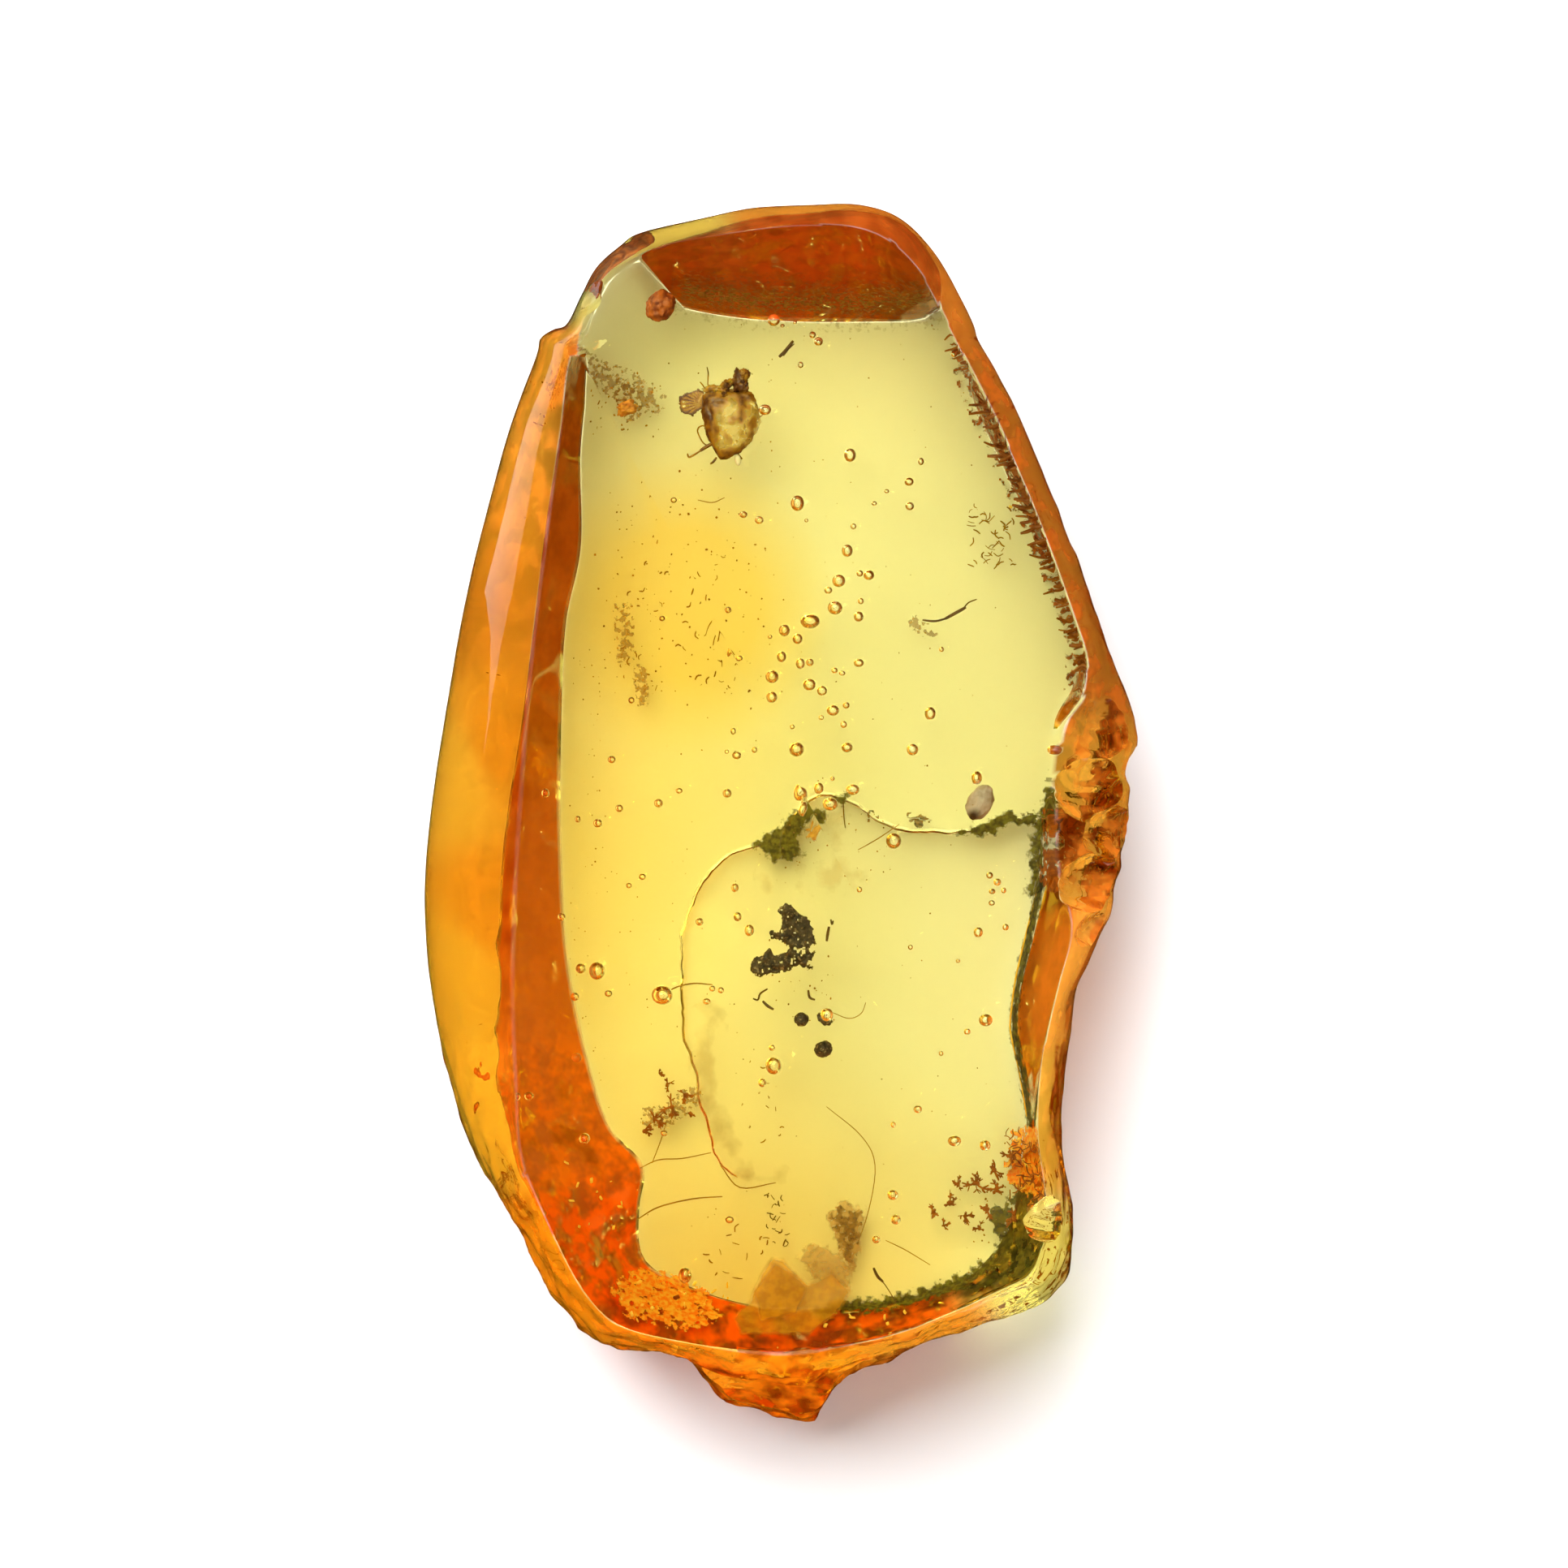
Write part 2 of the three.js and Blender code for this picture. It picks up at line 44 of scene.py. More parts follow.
# The lump: the same driving dimensions as its solids, in millimetres
THICKNESS = 11.4
TOP_TILT_X = -0.075
TOP_TILT_Y = -0.035
OUTLINE = [
    (1.2, 25.1), (3.1, 25.1), (4.7, 24.6), (6.2, 23.2), (7.5, 21.0), (7.9, 20.1), (8.0, 19.7),
    (8.6, 18.6), (9.7, 16.5), (11.2, 13.0), (11.8, 11.3), (12.0, 10.9), (12.9, 8.5), (13.6, 6.6),
    (14.6, 3.9), (14.7, 3.0), (14.3, 1.8), (14.3, 1.3), (14.1, 0.3), (14.2, -0.6), (14.0, -1.4),
    (14.0, -2.0), (13.7, -2.7), (13.6, -3.5), (13.2, -4.4), (12.6, -5.9), (12.1, -7.0),
    (11.8, -9.2), (11.5, -11.7), (11.5, -13.1), (12.0, -15.4), (12.1, -16.9), (11.7, -18.8),
    (11.1, -19.6), (10.1, -20.2), (6.5, -21.5), (4.4, -22.3), (3.4, -22.7), (2.4, -23.4),
    (1.6, -24.6), (1.2, -25.0), (0.9, -25.1), (-0.6, -24.7), (-2.6, -23.8), (-3.7, -22.7),
    (-4.1, -22.3), (-6.7, -21.8), (-7.5, -21.6), (-7.9, -21.4), (-9.2, -19.9), (-11.0, -16.7),
    (-12.4, -14.4), (-13.0, -13.1), (-13.3, -12.1), (-14.3, -7.9), (-14.7, -4.0), (-14.6, -0.9),
    (-13.7, 5.2), (-12.6, 10.6), (-11.2, 15.9), (-10.0, 19.2), (-9.9, 19.7), (-9.3, 20.1),
    (-8.9, 20.2), (-8.2, 21.5), (-7.6, 22.6), (-6.5, 23.6), (-6.1, 23.9), (-3.2, 24.6),
    (-1.1, 25.0),
]
BOTTOM_FACE = [
    (-6.1, 22.9), (-5.4, 21.3), (-4.1, 20.9), (-1.5, 20.5), (3.0, 20.4), (5.8, 20.6), (6.5, 21.2),
    (7.2, 19.5), (7.6, 17.3), (8.6, 15.0), (9.9, 12.3), (11.2, 9.9), (12.2, 7.6), (11.9, 5.6),
    (11.0, 3.9), (11.0, 2.0), (10.5, 0.0), (10.3, -2.3), (9.8, -4.5), (9.1, -8.0), (9.2, -10.0),
    (9.7, -12.0), (9.6, -14.5), (9.0, -17.3), (7.6, -19.0), (5.0, -20.0), (2.3, -20.3),
    (-1.0, -20.3), (-4.0, -19.5), (-6.0, -18.3), (-6.2, -16.2), (-6.0, -14.5), (-7.3, -13.0),
    (-8.3, -10.0), (-9.1, -6.0), (-9.4, -1.0), (-9.4, 4.0), (-9.2, 8.0), (-8.6, 11.0),
    (-8.6, 15.0), (-8.3, 18.3), (-8.4, 19.3), (-8.0, 20.8), (-7.2, 22.3),
]
TOP_FACE = [
    (-5.6, 23.0), (-2.5, 23.7), (1.5, 24.1), (3.8, 23.7), (5.4, 22.4), (6.9, 19.7), (8.9, 15.7),
    (10.5, 12.0), (11.8, 8.4), (12.4, 6.4), (12.2, 5.0), (11.3, 3.9), (11.0, 2.0), (10.9, 0.0),
    (11.1, -2.4), (11.7, -4.4), (11.3, -6.4), (10.6, -9.5), (10.4, -12.6), (10.7, -16.2),
    (10.1, -18.3), (8.3, -19.4), (4.2, -21.0), (0.0, -21.6), (-4.0, -21.2), (-6.8, -20.4),
    (-8.1, -19.0), (-9.6, -16.0), (-10.5, -13.6), (-10.7, -10.5), (-10.8, -7.0), (-10.7, -3.0),
    (-10.4, 2.0), (-10.0, 7.0), (-9.4, 12.0), (-8.9, 16.0), (-8.6, 18.6), (-8.0, 20.2),
    (-7.2, 21.9),
]
# Height of the widest line: degrees around the lump from +X, and millimetres
GIRDLE = [
    (0, 7.6), (40, 7.8), (75, 8.6), (95, 8.6), (115, 7.0), (140, 5.6), (180, 5.4), (215, 5.2),
    (245, 4.6), (262, 3.2), (272, 2.4), (282, 3.0), (300, 4.6), (325, 6.4), (345, 7.2), (360, 7.6),
]
SHOULDER_ROUNDNESS = 1.7
BOTTOM_BULGE = 0.8
SPINE_X = 0.5
SPINE_LOW = -14.0
SPINE_HIGH = 15.0
# Bites out of the broken side: centre and radii
CHIPS = [
    ((14.7, 3.7, 12.2), (3.3, 2.3, 3.5)),
    ((13.7, 1.2, 12.4), (2.9, 1.9, 4.0)),
    ((15.3, -0.6, 10.4), (3.1, 1.7, 3.2)),
    ((13.9, -2.6, 12.2), (2.9, 1.7, 4.1)),
    ((14.2, -4.7, 10.9), (2.2, 1.5, 3.0)),
    ((16.4, 2.0, 7.2), (2.5, 1.5, 2.6)),
    ((16.2, -1.6, 6.4), (2.5, 1.5, 2.4)),
    ((15.9, 8.0, 11.6), (3.3, 3.6, 3.0)),
    ((12.6, -16.3, 12.6), (2.9, 1.5, 3.4)),
    ((-9.2, 21.5, 12.4), (2.1, 1.4, 3.0)),
    ((-8.2, 19.3, 13.0), (1.3, 1.1, 1.9)),
    ((15.8, 1.2, 1.6), (3.6, 3.2, 3.4)),
    ((15.4, -3.4, 2.0), (3.4, 3.4, 3.6)),
    ((13.2, -10.2, 1.0), (2.6, 4.0, 3.6)),
    ((-10.6, -18.6, 0.4), (3.4, 3.6, 2.8)),
]
LEDGE_Y = -21.9
LEDGE_Z = 9.6
LEDGE_SLOPE_DEGREES = 58
LEDGE_TURN_DEGREES = -1.5
LEDGE_STEPS = 90
LEDGE_SIZE = 40.0
BASIN_OUTLINE = [
    (0.2, 0.1), (1.2, 0.9), (2.6, 0.6), (4.2, -0.3), (5.9, -0.5), (7.4, -0.6), (9.2, 0.0),
    (10.6, -0.4), (12.5, -2.6), (12.5, -6.0), (11.0, -12.5), (8.5, -14.8), (3.4, -15.0),
    (-0.4, -15.4), (-1.9, -15.1), (-2.8, -14.4), (-3.4, -13.0), (-3.9, -11.0), (-4.4, -8.4),
    (-4.5, -6.0), (-4.3, -4.4), (-3.4, -2.5), (-2.4, -1.5), (-0.6, -0.9),
]
BASIN_DEPTH = 0.62
BASIN_FALL_X = 0.03
BASIN_FALL_Y = 0.03
BASIN_WALL_STEEP = 0.15
BASIN_WALL_GENTLE = 2.6
BASIN_RIM_SAMPLES = 420
# Rings of the basin's wall: share of the wall's width inwards, and share of its depth
BELOW_FLOOR = -1.0
BASIN_RINGS = [(-0.3, BELOW_FLOOR), (-0.02, -0.03), (0.35, 0.5), (0.7, 0.9), (1.1, 1.0)]

# How deep the sides are broken: degrees around the lump from +X, and millimetres
RIM_ROUGHNESS = [
    (0, 0.5), (20, 0.35), (55, 0.12), (75, 0.04), (115, 0.05), (125, 0.03), (200, 0.03),
    (222, 0.25), (240, 0.6), (272, 0.8), (300, 0.5), (318, 0.15), (335, 0.1), (348, 0.5), (360, 0.5),
]

# How finely the visible lump is made
RIM_SAMPLES = 640
SHOULDER_RINGS = 26
UNDERSIDE_RINGS = 30
SHOULDER_RING_SPACING = 1.6
UNDERSIDE_RING_SPACING = 1.1
SHARP_ANGLE = 32
CAP_MARGIN = 0.15

# How the rind's paint is spread: closeness to a flat face, width of the change at the girdle and
# how fast the pull of a zone falls off with the square of the distance
FACE_TOLERANCE = 0.02
GIRDLE_BLEND = 0.8
ZONE_CORE = 0.4
ZONE_FALLOFF = 2.5

# Gas bubbles: centre X and Y, then diameter
BUBBLE_HEIGHTS = (2.4, 9.2)
BUBBLES = [
    (-0.43, 20.37, 0.53), (-0.13, 20.17, 0.2), (0.47, 20.27, 0.2), (1.1, 19.8, 0.33),
    (1.47, 19.47, 0.4), (0.6, 18.57, 0.3), (6.77, 20.13, 0.37), (6.97, 19.0, 0.3),
    (2.6, 14.87, 0.63), (5.57, 14.6, 0.33), (5.07, 13.77, 0.4), (4.2, 13.37, 0.23),
    (3.67, 12.87, 0.23), (5.07, 12.77, 0.43), (0.57, 12.87, 0.67), (2.83, 11.93, 0.27),
    (0.87, 12.17, 0.2), (2.63, 10.93, 0.57), (-1.63, 12.4, 0.37), (-0.97, 12.17, 0.37),
    (-4.63, 13.0, 0.27), (2.27, 9.7, 0.6), (3.43, 9.93, 0.57), (3.07, 10.0, 0.33),
    (1.7, 9.3, 0.4), (2.13, 8.6, 0.67), (3.17, 8.87, 0.3), (3.0, 8.23, 0.47), (0.97, 8.03, 0.83),
    (0.03, 7.67, 0.6), (0.43, 7.3, 0.47), (-0.57, 7.4, 0.23), (-0.2, 6.57, 0.47),
    (0.6, 6.3, 0.47), (1.1, 6.37, 0.37), (2.07, 6.03, 0.3), (2.33, 5.9, 0.27), (3.03, 6.33, 0.43),
    (-0.5, 5.77, 0.6), (0.97, 5.43, 0.63), (1.47, 5.17, 0.43), (-0.53, 4.93, 0.53),
    (1.93, 4.37, 0.53), (2.53, 4.6, 0.37), (1.53, 4.1, 0.23), (2.47, 3.83, 0.3),
    (0.37, 3.73, 0.27), (0.43, 2.77, 0.77), (2.47, 2.83, 0.53), (5.9, 4.23, 0.57),
    (5.27, 2.8, 0.53), (7.87, 1.63, 0.6), (6.47, 6.9, 0.27), (4.4, -1.0, 0.7),
    (11.03, 2.8, 0.5), (0.7, 0.97, 0.73), (1.4, 1.2, 0.53), (1.9, 0.57, 0.67), (2.83, 1.17, 0.57),
    (1.97, 1.6, 0.23), (0.7, 0.23, 0.47), (-5.13, 8.13, 0.3), (-2.27, 8.5, 0.33),
    (-6.37, 4.77, 0.33), (-2.33, 6.3, 0.3), (-1.97, 6.5, 0.33), (-2.2, 3.5, 0.3),
    (-2.43, 2.67, 0.2), (-2.0, 2.53, 0.4), (-1.33, 2.73, 0.27), (-7.07, 2.37, 0.4),
    (-2.33, 1.0, 0.47), (-4.3, 1.1, 0.3), (-5.13, 0.6, 0.4), (-6.7, 0.4, 0.33),
    (-8.47, -0.07, 0.3), (-7.63, -0.23, 0.43), (-5.97, -2.5, 0.3), (-6.4, -2.8, 0.27),
    (-9.07, -4.03, 0.4), (-1.97, -2.83, 0.4), (-3.43, -4.23, 0.43), (-2.03, -4.13, 0.43),
    (-1.43, -4.6, 0.5), (-9.77, 1.0, 0.43), (-7.77, -6.33, 0.8), (-8.5, -6.27, 0.43),
    (-8.7, -7.4, 0.43), (-7.37, -7.3, 0.37), (-4.97, -7.23, 1.0), (-8.63, -9.9, 0.47),
    (-2.97, -7.0, 0.3), (-2.57, -7.03, 0.33), (-3.13, -7.47, 0.33), (-0.6, -9.5, 0.3),
    (-0.57, -10.27, 0.8), (-1.0, -10.93, 0.37), (-8.17, -13.1, 0.5), (-10.47, -11.4, 0.43),
    (-4.07, -18.7, 0.67), (-2.33, -16.53, 0.37), (-5.07, -13.03, 0.3), (8.37, -2.4, 0.3),
    (8.75, -2.6, 0.37), (9.0, -2.95, 0.27), (8.5, -3.03, 0.3), (8.43, -3.57, 0.27),
    (9.07, -4.47, 0.3), (7.93, -4.7, 0.43), (5.13, -5.33, 0.23), (7.1, -5.87, 0.23),
    (3.0, -3.0, 0.27), (8.23, -8.3, 0.6), (7.5, -8.73, 0.3), (6.4, -9.67, 0.23),
    (5.43, -11.97, 0.37), (4.47, -12.53, 0.27), (6.93, -13.27, 0.6), (8.23, -13.37, 0.5),
    (4.43, -15.43, 0.5), (4.5, -16.53, 0.5), (3.7, -17.33, 0.4), (-0.73, 16.68, 0.53),
    (1.77, -8.03, 0.6),
]

# Weathered rind by place. Each zone gives its centre, its colour (linear red, green, blue), how much
# of it is opaque and how mottled it is
UNDERSIDE_ZONES = [
    ((1.0, 23.0), (0.78, 0.115, 0.016), 0.96, 0.25),
    ((-5.0, 22.0), (0.70, 0.115, 0.014), 0.96, 0.20),
    ((6.8, 21.5), (0.60, 0.13, 0.014), 0.92, 0.20),
    ((10.3, 14.0), (0.36, 0.075, 0.008), 0.85, 0.40),
    ((12.8, 7.5), (0.34, 0.07, 0.008), 0.85, 0.50),
    ((12.8, 0.0), (0.48, 0.12, 0.009), 0.55, 0.80),
    ((11.2, -7.5), (1.00, 0.3, 0.045), 0.85, 0.08),
    ((10.4, -14.0), (0.75, 0.20, 0.015), 0.60, 0.80),
    ((10.8, -18.6), (1.00, 0.9, 0.45), 0.02, 0.20),
    ((4.0, -21.6), (0.72, 0.12, 0.005), 0.85, 0.90),
    ((-4.0, -21.3), (0.80, 0.135, 0.005), 0.88, 0.90),
    ((-8.6, -18.0), (0.86, 0.125, 0.002), 0.82, 0.75),
    ((-9.8, -13.0), (0.84, 0.19, 0.011), 0.78, 0.35),
    ((-10.8, -6.0), (0.82, 0.21, 0.020), 0.75, 0.06),
    ((-10.8, 2.0), (0.82, 0.21, 0.020), 0.75, 0.06),
    ((-10.2, 10.0), (0.76, 0.17, 0.018), 0.75, 0.10),
    ((-9.2, 17.0), (0.74, 0.18, 0.018), 0.72, 0.20),
    ((-7.6, 21.8), (0.98, 0.88, 0.50), 0.03, 0.05),
]
SHOULDER_ZONES = [
    ((0.0, 24.6), (0.66, 0.16, 0.02), 0.15, 0.08),
    ((-4.5, 23.8), (0.95, 0.60, 0.15), 0.03, 0.05),
    ((5.4, 23.4), (0.44, 0.085, 0.008), 0.40, 0.15),
    ((9.8, 16.0), (0.30, 0.05, 0.004), 0.55, 0.40),
    ((12.9, 7.6), (0.30, 0.05, 0.004), 0.55, 0.50),
    ((13.4, 0.0), (0.50, 0.13, 0.01), 0.25, 0.70),
    ((12.2, -7.0), (0.95, 0.26, 0.03), 0.45, 0.10),
    ((11.4, -12.5), (0.84, 0.28, 0.030), 0.15, 0.40),
    ((11.4, -18.6), (1.00, 0.93, 0.5), 0.00, 0.10),
    ((6.0, -21.3), (0.92, 0.20, 0.012), 0.40, 0.50),
    ((1.0, -23.6), (0.97, 0.24, 0.006), 0.45, 0.60),
    ((-4.5, -22.0), (0.97, 0.20, 0.006), 0.50, 0.70),
    ((-9.8, -18.4), (0.97, 0.20, 0.003), 0.35, 0.40),
    ((-12.6, -12.4), (0.97, 0.34, 0.015), 0.12, 0.12),
    ((-13.4, -6.0), (0.92, 0.34, 0.020), 0.04, 0.08),
    ((-11.6, -4.0), (0.82, 0.19, 0.006), 0.08, 0.10),
    ((-13.7, 2.0), (0.97, 0.42, 0.040), 0.04, 0.08),
    ((-11.3, 3.0), (0.82, 0.19, 0.006), 0.08, 0.10),
    ((-12.6, 9.0), (0.68, 0.16, 0.010), 0.08, 0.15),
    ((-10.9, 13.0), (0.80, 0.20, 0.015), 0.12, 0.25),
    ((-9.8, 18.4), (0.78, 0.19, 0.012), 0.15, 0.30),
    ((-7.6, 22.4), (0.97, 0.85, 0.45), 0.03, 0.10),
]


def main():
    make_amber()
    make_insect()
    make_char()
    make_grains()
    make_films()
    make_threads()
    make_spikes()
    make_painted_glints()
    make_specks()
    # The floor comes last: where it is the first mesh, the render shows all behind the amber black
    setup_world()


# Repeatable noise over arrays of points

def lattice(cell, seed):
    """Random numbers from 0 to 1 at whole-number points."""
    n = cell[..., 0] * 73856093 ^ cell[..., 1] * 19349663 ^ cell[..., 2] * 83492791 ^ seed * 1013904223
    n = (n ^ (n >> 13)) * 1274126177 & 0x7FFFFFFF
    n = (n ^ (n >> 15)) * 668265263 & 0x7FFFFFFF
    return ((n >> 7) & 0xFFFF) / 65535.0


def smooth_noise(points, seed=0):
    """Noise from -1 to 1 that changes smoothly over one unit."""
    cell = np.floor(points).astype(np.int64)
    share = points - cell
    share = share * share * (3 - 2 * share)
    total = 0.0
    for corner in np.ndindex(2, 2, 2):
        weight = np.prod(np.where(corner, share, 1 - share), axis=-1)
        total = total + weight * lattice(cell + np.array(corner), seed)
    return 2 * total - 1


def layered_noise(points, seed=0, layers=3):
    return sum(smooth_noise(points * 2.03 ** i, seed + i) * 0.5 ** i for i in range(layers))


def scallops(points, seed=0):
    """Bowls with sharp ridges between them, as glassy things break: 0 in a bowl, 1 on a ridge."""
    cell = np.floor(points).astype(np.int64)
    nearest = np.full(points.shape[:-1], 9.0)
    for corner in np.ndindex(3, 3, 3):
        other = cell + np.array(corner) - 1
        centre = other + np.stack([lattice(other, seed + k) for k in range(3)], axis=-1)
        nearest = np.minimum(nearest, ((points - centre) ** 2).sum(axis=-1))
    return np.clip(nearest, 0, 1)


# Plane curves

def closed_curve(points, count):
    """Evenly spaced points along a smooth closed curve."""
    p1 = np.asarray(points, float)
    p0, p2, p3 = np.roll(p1, 1, 0), np.roll(p1, -1, 0), np.roll(p1, -2, 0)
    d0, d1, d2 = (np.linalg.norm(b - a, axis=1)[:, None] ** 0.5 for a, b in ((p0, p1), (p1, p2), (p2, p3)))
    t1 = ((p1 - p0) / d0 - (p2 - p0) / (d0 + d1) + (p2 - p1) / d1) * d1
    t2 = ((p2 - p1) / d1 - (p3 - p1) / (d1 + d2) + (p3 - p2) / d2) * d1
    t = np.linspace(0, 1, 24, endpoint=False)[:, None, None]
    curve = p1 + t1 * t + (3 * (p2 - p1) - 2 * t1 - t2) * t ** 2 + (2 * (p1 - p2) + t1 + t2) * t ** 3
    dense = curve.transpose(1, 0, 2).reshape(-1, p1.shape[1])
    dense = np.vstack([dense, dense[:1]])
    along = np.concatenate([[0], np.cumsum(np.linalg.norm(np.diff(dense, axis=0), axis=1))])
    at = np.linspace(0, along[-1], count, endpoint=False)
    return np.stack([np.interp(at, along, dense[:, k]) for k in range(p1.shape[1])], axis=1)


def distance_to_stretch(x, y, ex, ey):
    """Distance from places to the straight stretch from the origin to ex, ey."""
    share = np.clip((x * ex + y * ey) / (ex * ex + ey * ey), 0, 1)
    return np.hypot(x - share * ex, y - share * ey)


def distance_to_line(points, line):
    """Distance from points to an open line in the plane."""
    x, y = points[:, 0], points[:, 1]
    stretches = (distance_to_stretch(x - ax, y - ay, bx - ax, by - ay)
                 for (ax, ay), (bx, by) in zip(line, line[1:]))
    return np.min(list(stretches), axis=0)


def distance_to(points, outline):
    """Distance from points to a closed outline in the plane, negative inside it."""
    a = np.asarray(outline, float)
    b = np.roll(a, -1, 0)
    x, y = points[:, 0], points[:, 1]
    nearest = np.full(len(points), np.inf)
    inside = np.zeros(len(points), bool)
    for (ax, ay), (bx, by) in zip(a, b):
        nearest = np.minimum(nearest, distance_to_stretch(x - ax, y - ay, bx - ax, by - ay))
        if ay != by:
            crosses = (ay > y) != (by > y)
            inside ^= crosses & (x < ax + (y - ay) * (bx - ax) / (by - ay))
    return np.where(inside, -nearest, nearest)


def face_entries(rim, face):
    """Points at which rays from the rim to the spine enter a face."""
    a = np.asarray(face, float)
    e = np.roll(a, -1, 0) - a
    target = np.stack([np.full(len(rim), SPINE_X), np.clip(rim[:, 1], SPINE_LOW, SPINE_HIGH)], axis=1)
    d = target - rim
    cross = d[:, None, 0] * e[None, :, 1] - d[:, None, 1] * e[None, :, 0]
    cross = np.where(np.abs(cross) < 1e-9, 1e-9, cross)
    to_a = a[None] - rim[:, None]
    share = (to_a[..., 0] * e[None, :, 1] - to_a[..., 1] * e[None, :, 0]) / cross
    along = (to_a[..., 0] * d[:, None, 1] - to_a[..., 1] * d[:, None, 0]) / cross
    share = np.where((along >= 0) & (along <= 1) & (share > 0), share, 1)
    return rim + d * share.min(axis=1)[:, None]


# Mesh helpers

def new_object(name, vertices, faces, scale=MM):
    """A mesh object from arrays of vertices, in millimetres, and of faces."""
    mesh = bpy.data.meshes.new(name)
    mesh.from_pydata((np.asarray(vertices, float) * scale).tolist(), [], [list(map(int, f)) for f in faces])
    mesh.update()
    obj = bpy.data.objects.new(name, mesh)
    bpy.context.scene.collection.objects.link(obj)
    return obj


def ball(detail):
    """Vertices and triangles of a ball of radius 1."""
    bm = bmesh.new()
    bmesh.ops.create_icosphere(bm, subdivisions=detail, radius=1)
    vertices = np.array([v.co[:] for v in bm.verts])
    faces = np.array([[v.index for v in f.verts] for f in bm.faces])
    bm.free()
    return vertices, faces


def vertex_array(mesh, what="co"):
    """Places or normals of a mesh's vertices as rows."""
    values = np.empty(3 * len(mesh.vertices))
    mesh.vertices.foreach_get(what, values)
    return values.reshape(-1, 3)


def set_vertices(mesh, points):
    mesh.vertices.foreach_set("co", np.asarray(points, float).ravel())
    mesh.update()


def set_attribute(mesh, name, values):
    kind = "FLOAT" if values.ndim == 1 else "FLOAT_COLOR"
    attribute = mesh.attributes.new(name, kind, "POINT")
    if kind == "FLOAT":
        attribute.data.foreach_set("value", values)
    else:
        rgba = np.column_stack([values, np.ones(len(values))])
        attribute.data.foreach_set("color", rgba.ravel())


def smooth_by_angle(mesh, degrees):
    mesh.shade_smooth()
    mesh.set_sharp_from_angle(angle=math.radians(degrees))


# The amber

def top_height(x, y):
    return THICKNESS + TOP_TILT_X * x + TOP_TILT_Y * y


def window_height(x, y):
    return 0 * (x + y)


def shoulder_profile(share):
    """How far up from the girdle to the top the rounded shoulder is, at a share of the way in."""
    return (1 - (1 - share) ** SHOULDER_ROUNDNESS) ** (1 / SHOULDER_ROUNDNESS)


def bevel_profile(share):
    return share ** BOTTOM_BULGE


def girdle_height(rim):
    """Height of the widest line around the lump."""
    degrees = np.degrees(np.arctan2(rim[:, 1], rim[:, 0])) % 360
    angles, heights = (np.array(column, float) for column in zip(*GIRDLE))
    after = np.clip(np.searchsorted(angles, degrees, side="right"), 1, len(angles) - 1)
    share = (degrees - angles[after - 1]) / (angles[after] - angles[after - 1])
    share = share * share * (3 - 2 * share)
    return heights[after - 1] + (heights[after] - heights[after - 1]) * share


def lump_mesh():
    """The lofted body before it is chipped: vertices and faces in millimetres."""
    rim = closed_curve(OUTLINE, RIM_SAMPLES)
    low = girdle_height(rim)
    rings = [np.column_stack([rim, low])]
    sides = []

    def add_side(face, height_of, profile, ring_count, spacing):
        inner = face_entries(rim, closed_curve(face, 6 * len(face)))
        heights = height_of(inner[:, 0], inner[:, 1])
        order = [0]
        for k in range(1, ring_count + 1):
            share = (k / ring_count) ** spacing
            z = low + (heights - low) * profile(share)
            rings.append(np.column_stack([rim + (inner - rim) * share, z]))
            order.append(len(rings) - 1)
        inward = np.array([SPINE_X, 0]) - inner
        inward[:, 1] = np.clip(inner[:, 1], SPINE_LOW, SPINE_HIGH) - inner[:, 1]
        inward /= np.linalg.norm(inward, axis=1)[:, None]
        margin = inner + inward * CAP_MARGIN
        rings.append(np.column_stack([margin, height_of(margin[:, 0], margin[:, 1])]))
        order.append(len(rings) - 1)
        sides.append(order)

    add_side(TOP_FACE, top_height, shoulder_profile, SHOULDER_RINGS, SHOULDER_RING_SPACING)
    add_side(BOTTOM_FACE, window_height, bevel_profile, UNDERSIDE_RINGS, UNDERSIDE_RING_SPACING)
    count = RIM_SAMPLES
    here = np.arange(count)
    following = (here + 1) % count
    faces = []
    for order, flip in zip(sides, (False, True)):
        for outer, inner in zip(order, order[1:]):
            out, into = outer * count, inner * count
            quads = np.column_stack([out + here, into + here, into + following, out + following])
            faces.extend((quads[:, ::-1] if flip else quads).tolist())
        cap = (order[-1] * count + here).tolist()
        faces.append(cap if flip else cap[::-1])
    return np.vstack(rings), faces


def weather(points, normals):
    """Moves the sides' points in and out: smooth on the left, broken on the right and below."""
    x, y, z = points.T
    angle = np.degrees(np.arctan2(y, x)) % 360
    top_edge = distance_to(points, TOP_FACE)
    window_edge = distance_to(points, BOTTOM_FACE)
    side = np.clip(np.where(normals[:, 2] > 0, top_edge, window_edge) / 0.8, 0, 1)
    angles, amounts = zip(*RIM_ROUGHNESS)
    rough = np.interp(angle, angles, amounts)
    broken = 0.55 * scallops(points / 2.4, 3) + 0.3 * scallops(points / 1.1, 11) - 0.35
    waves = 0.12 * smooth_noise(points / 5.0, 21)
    moved = side * (rough * broken + waves * 0.6)
    flat = (np.abs(z) < 1e-6) | (np.abs(z - top_height(x, y)) < 1e-6)
    return points + normals * np.where(flat, 0, moved)[:, None]


def basin_height(points):
    """Height of the basin's ceiling over points in the plane."""
    return BASIN_DEPTH + BASIN_FALL_X * points[:, 0] + BASIN_FALL_Y * points[:, 1]


def cutter(name, vertices, faces):
    """A closed shape to cut away, with its faces turned out."""
    obj = new_object(name, vertices, faces)
    obj.hide_render = True
    bm = bmesh.new()
    bm.from_mesh(obj.data)
    bmesh.ops.recalc_face_normals(bm, faces=bm.faces)
    bm.to_mesh(obj.data)
    bm.free()
    return obj


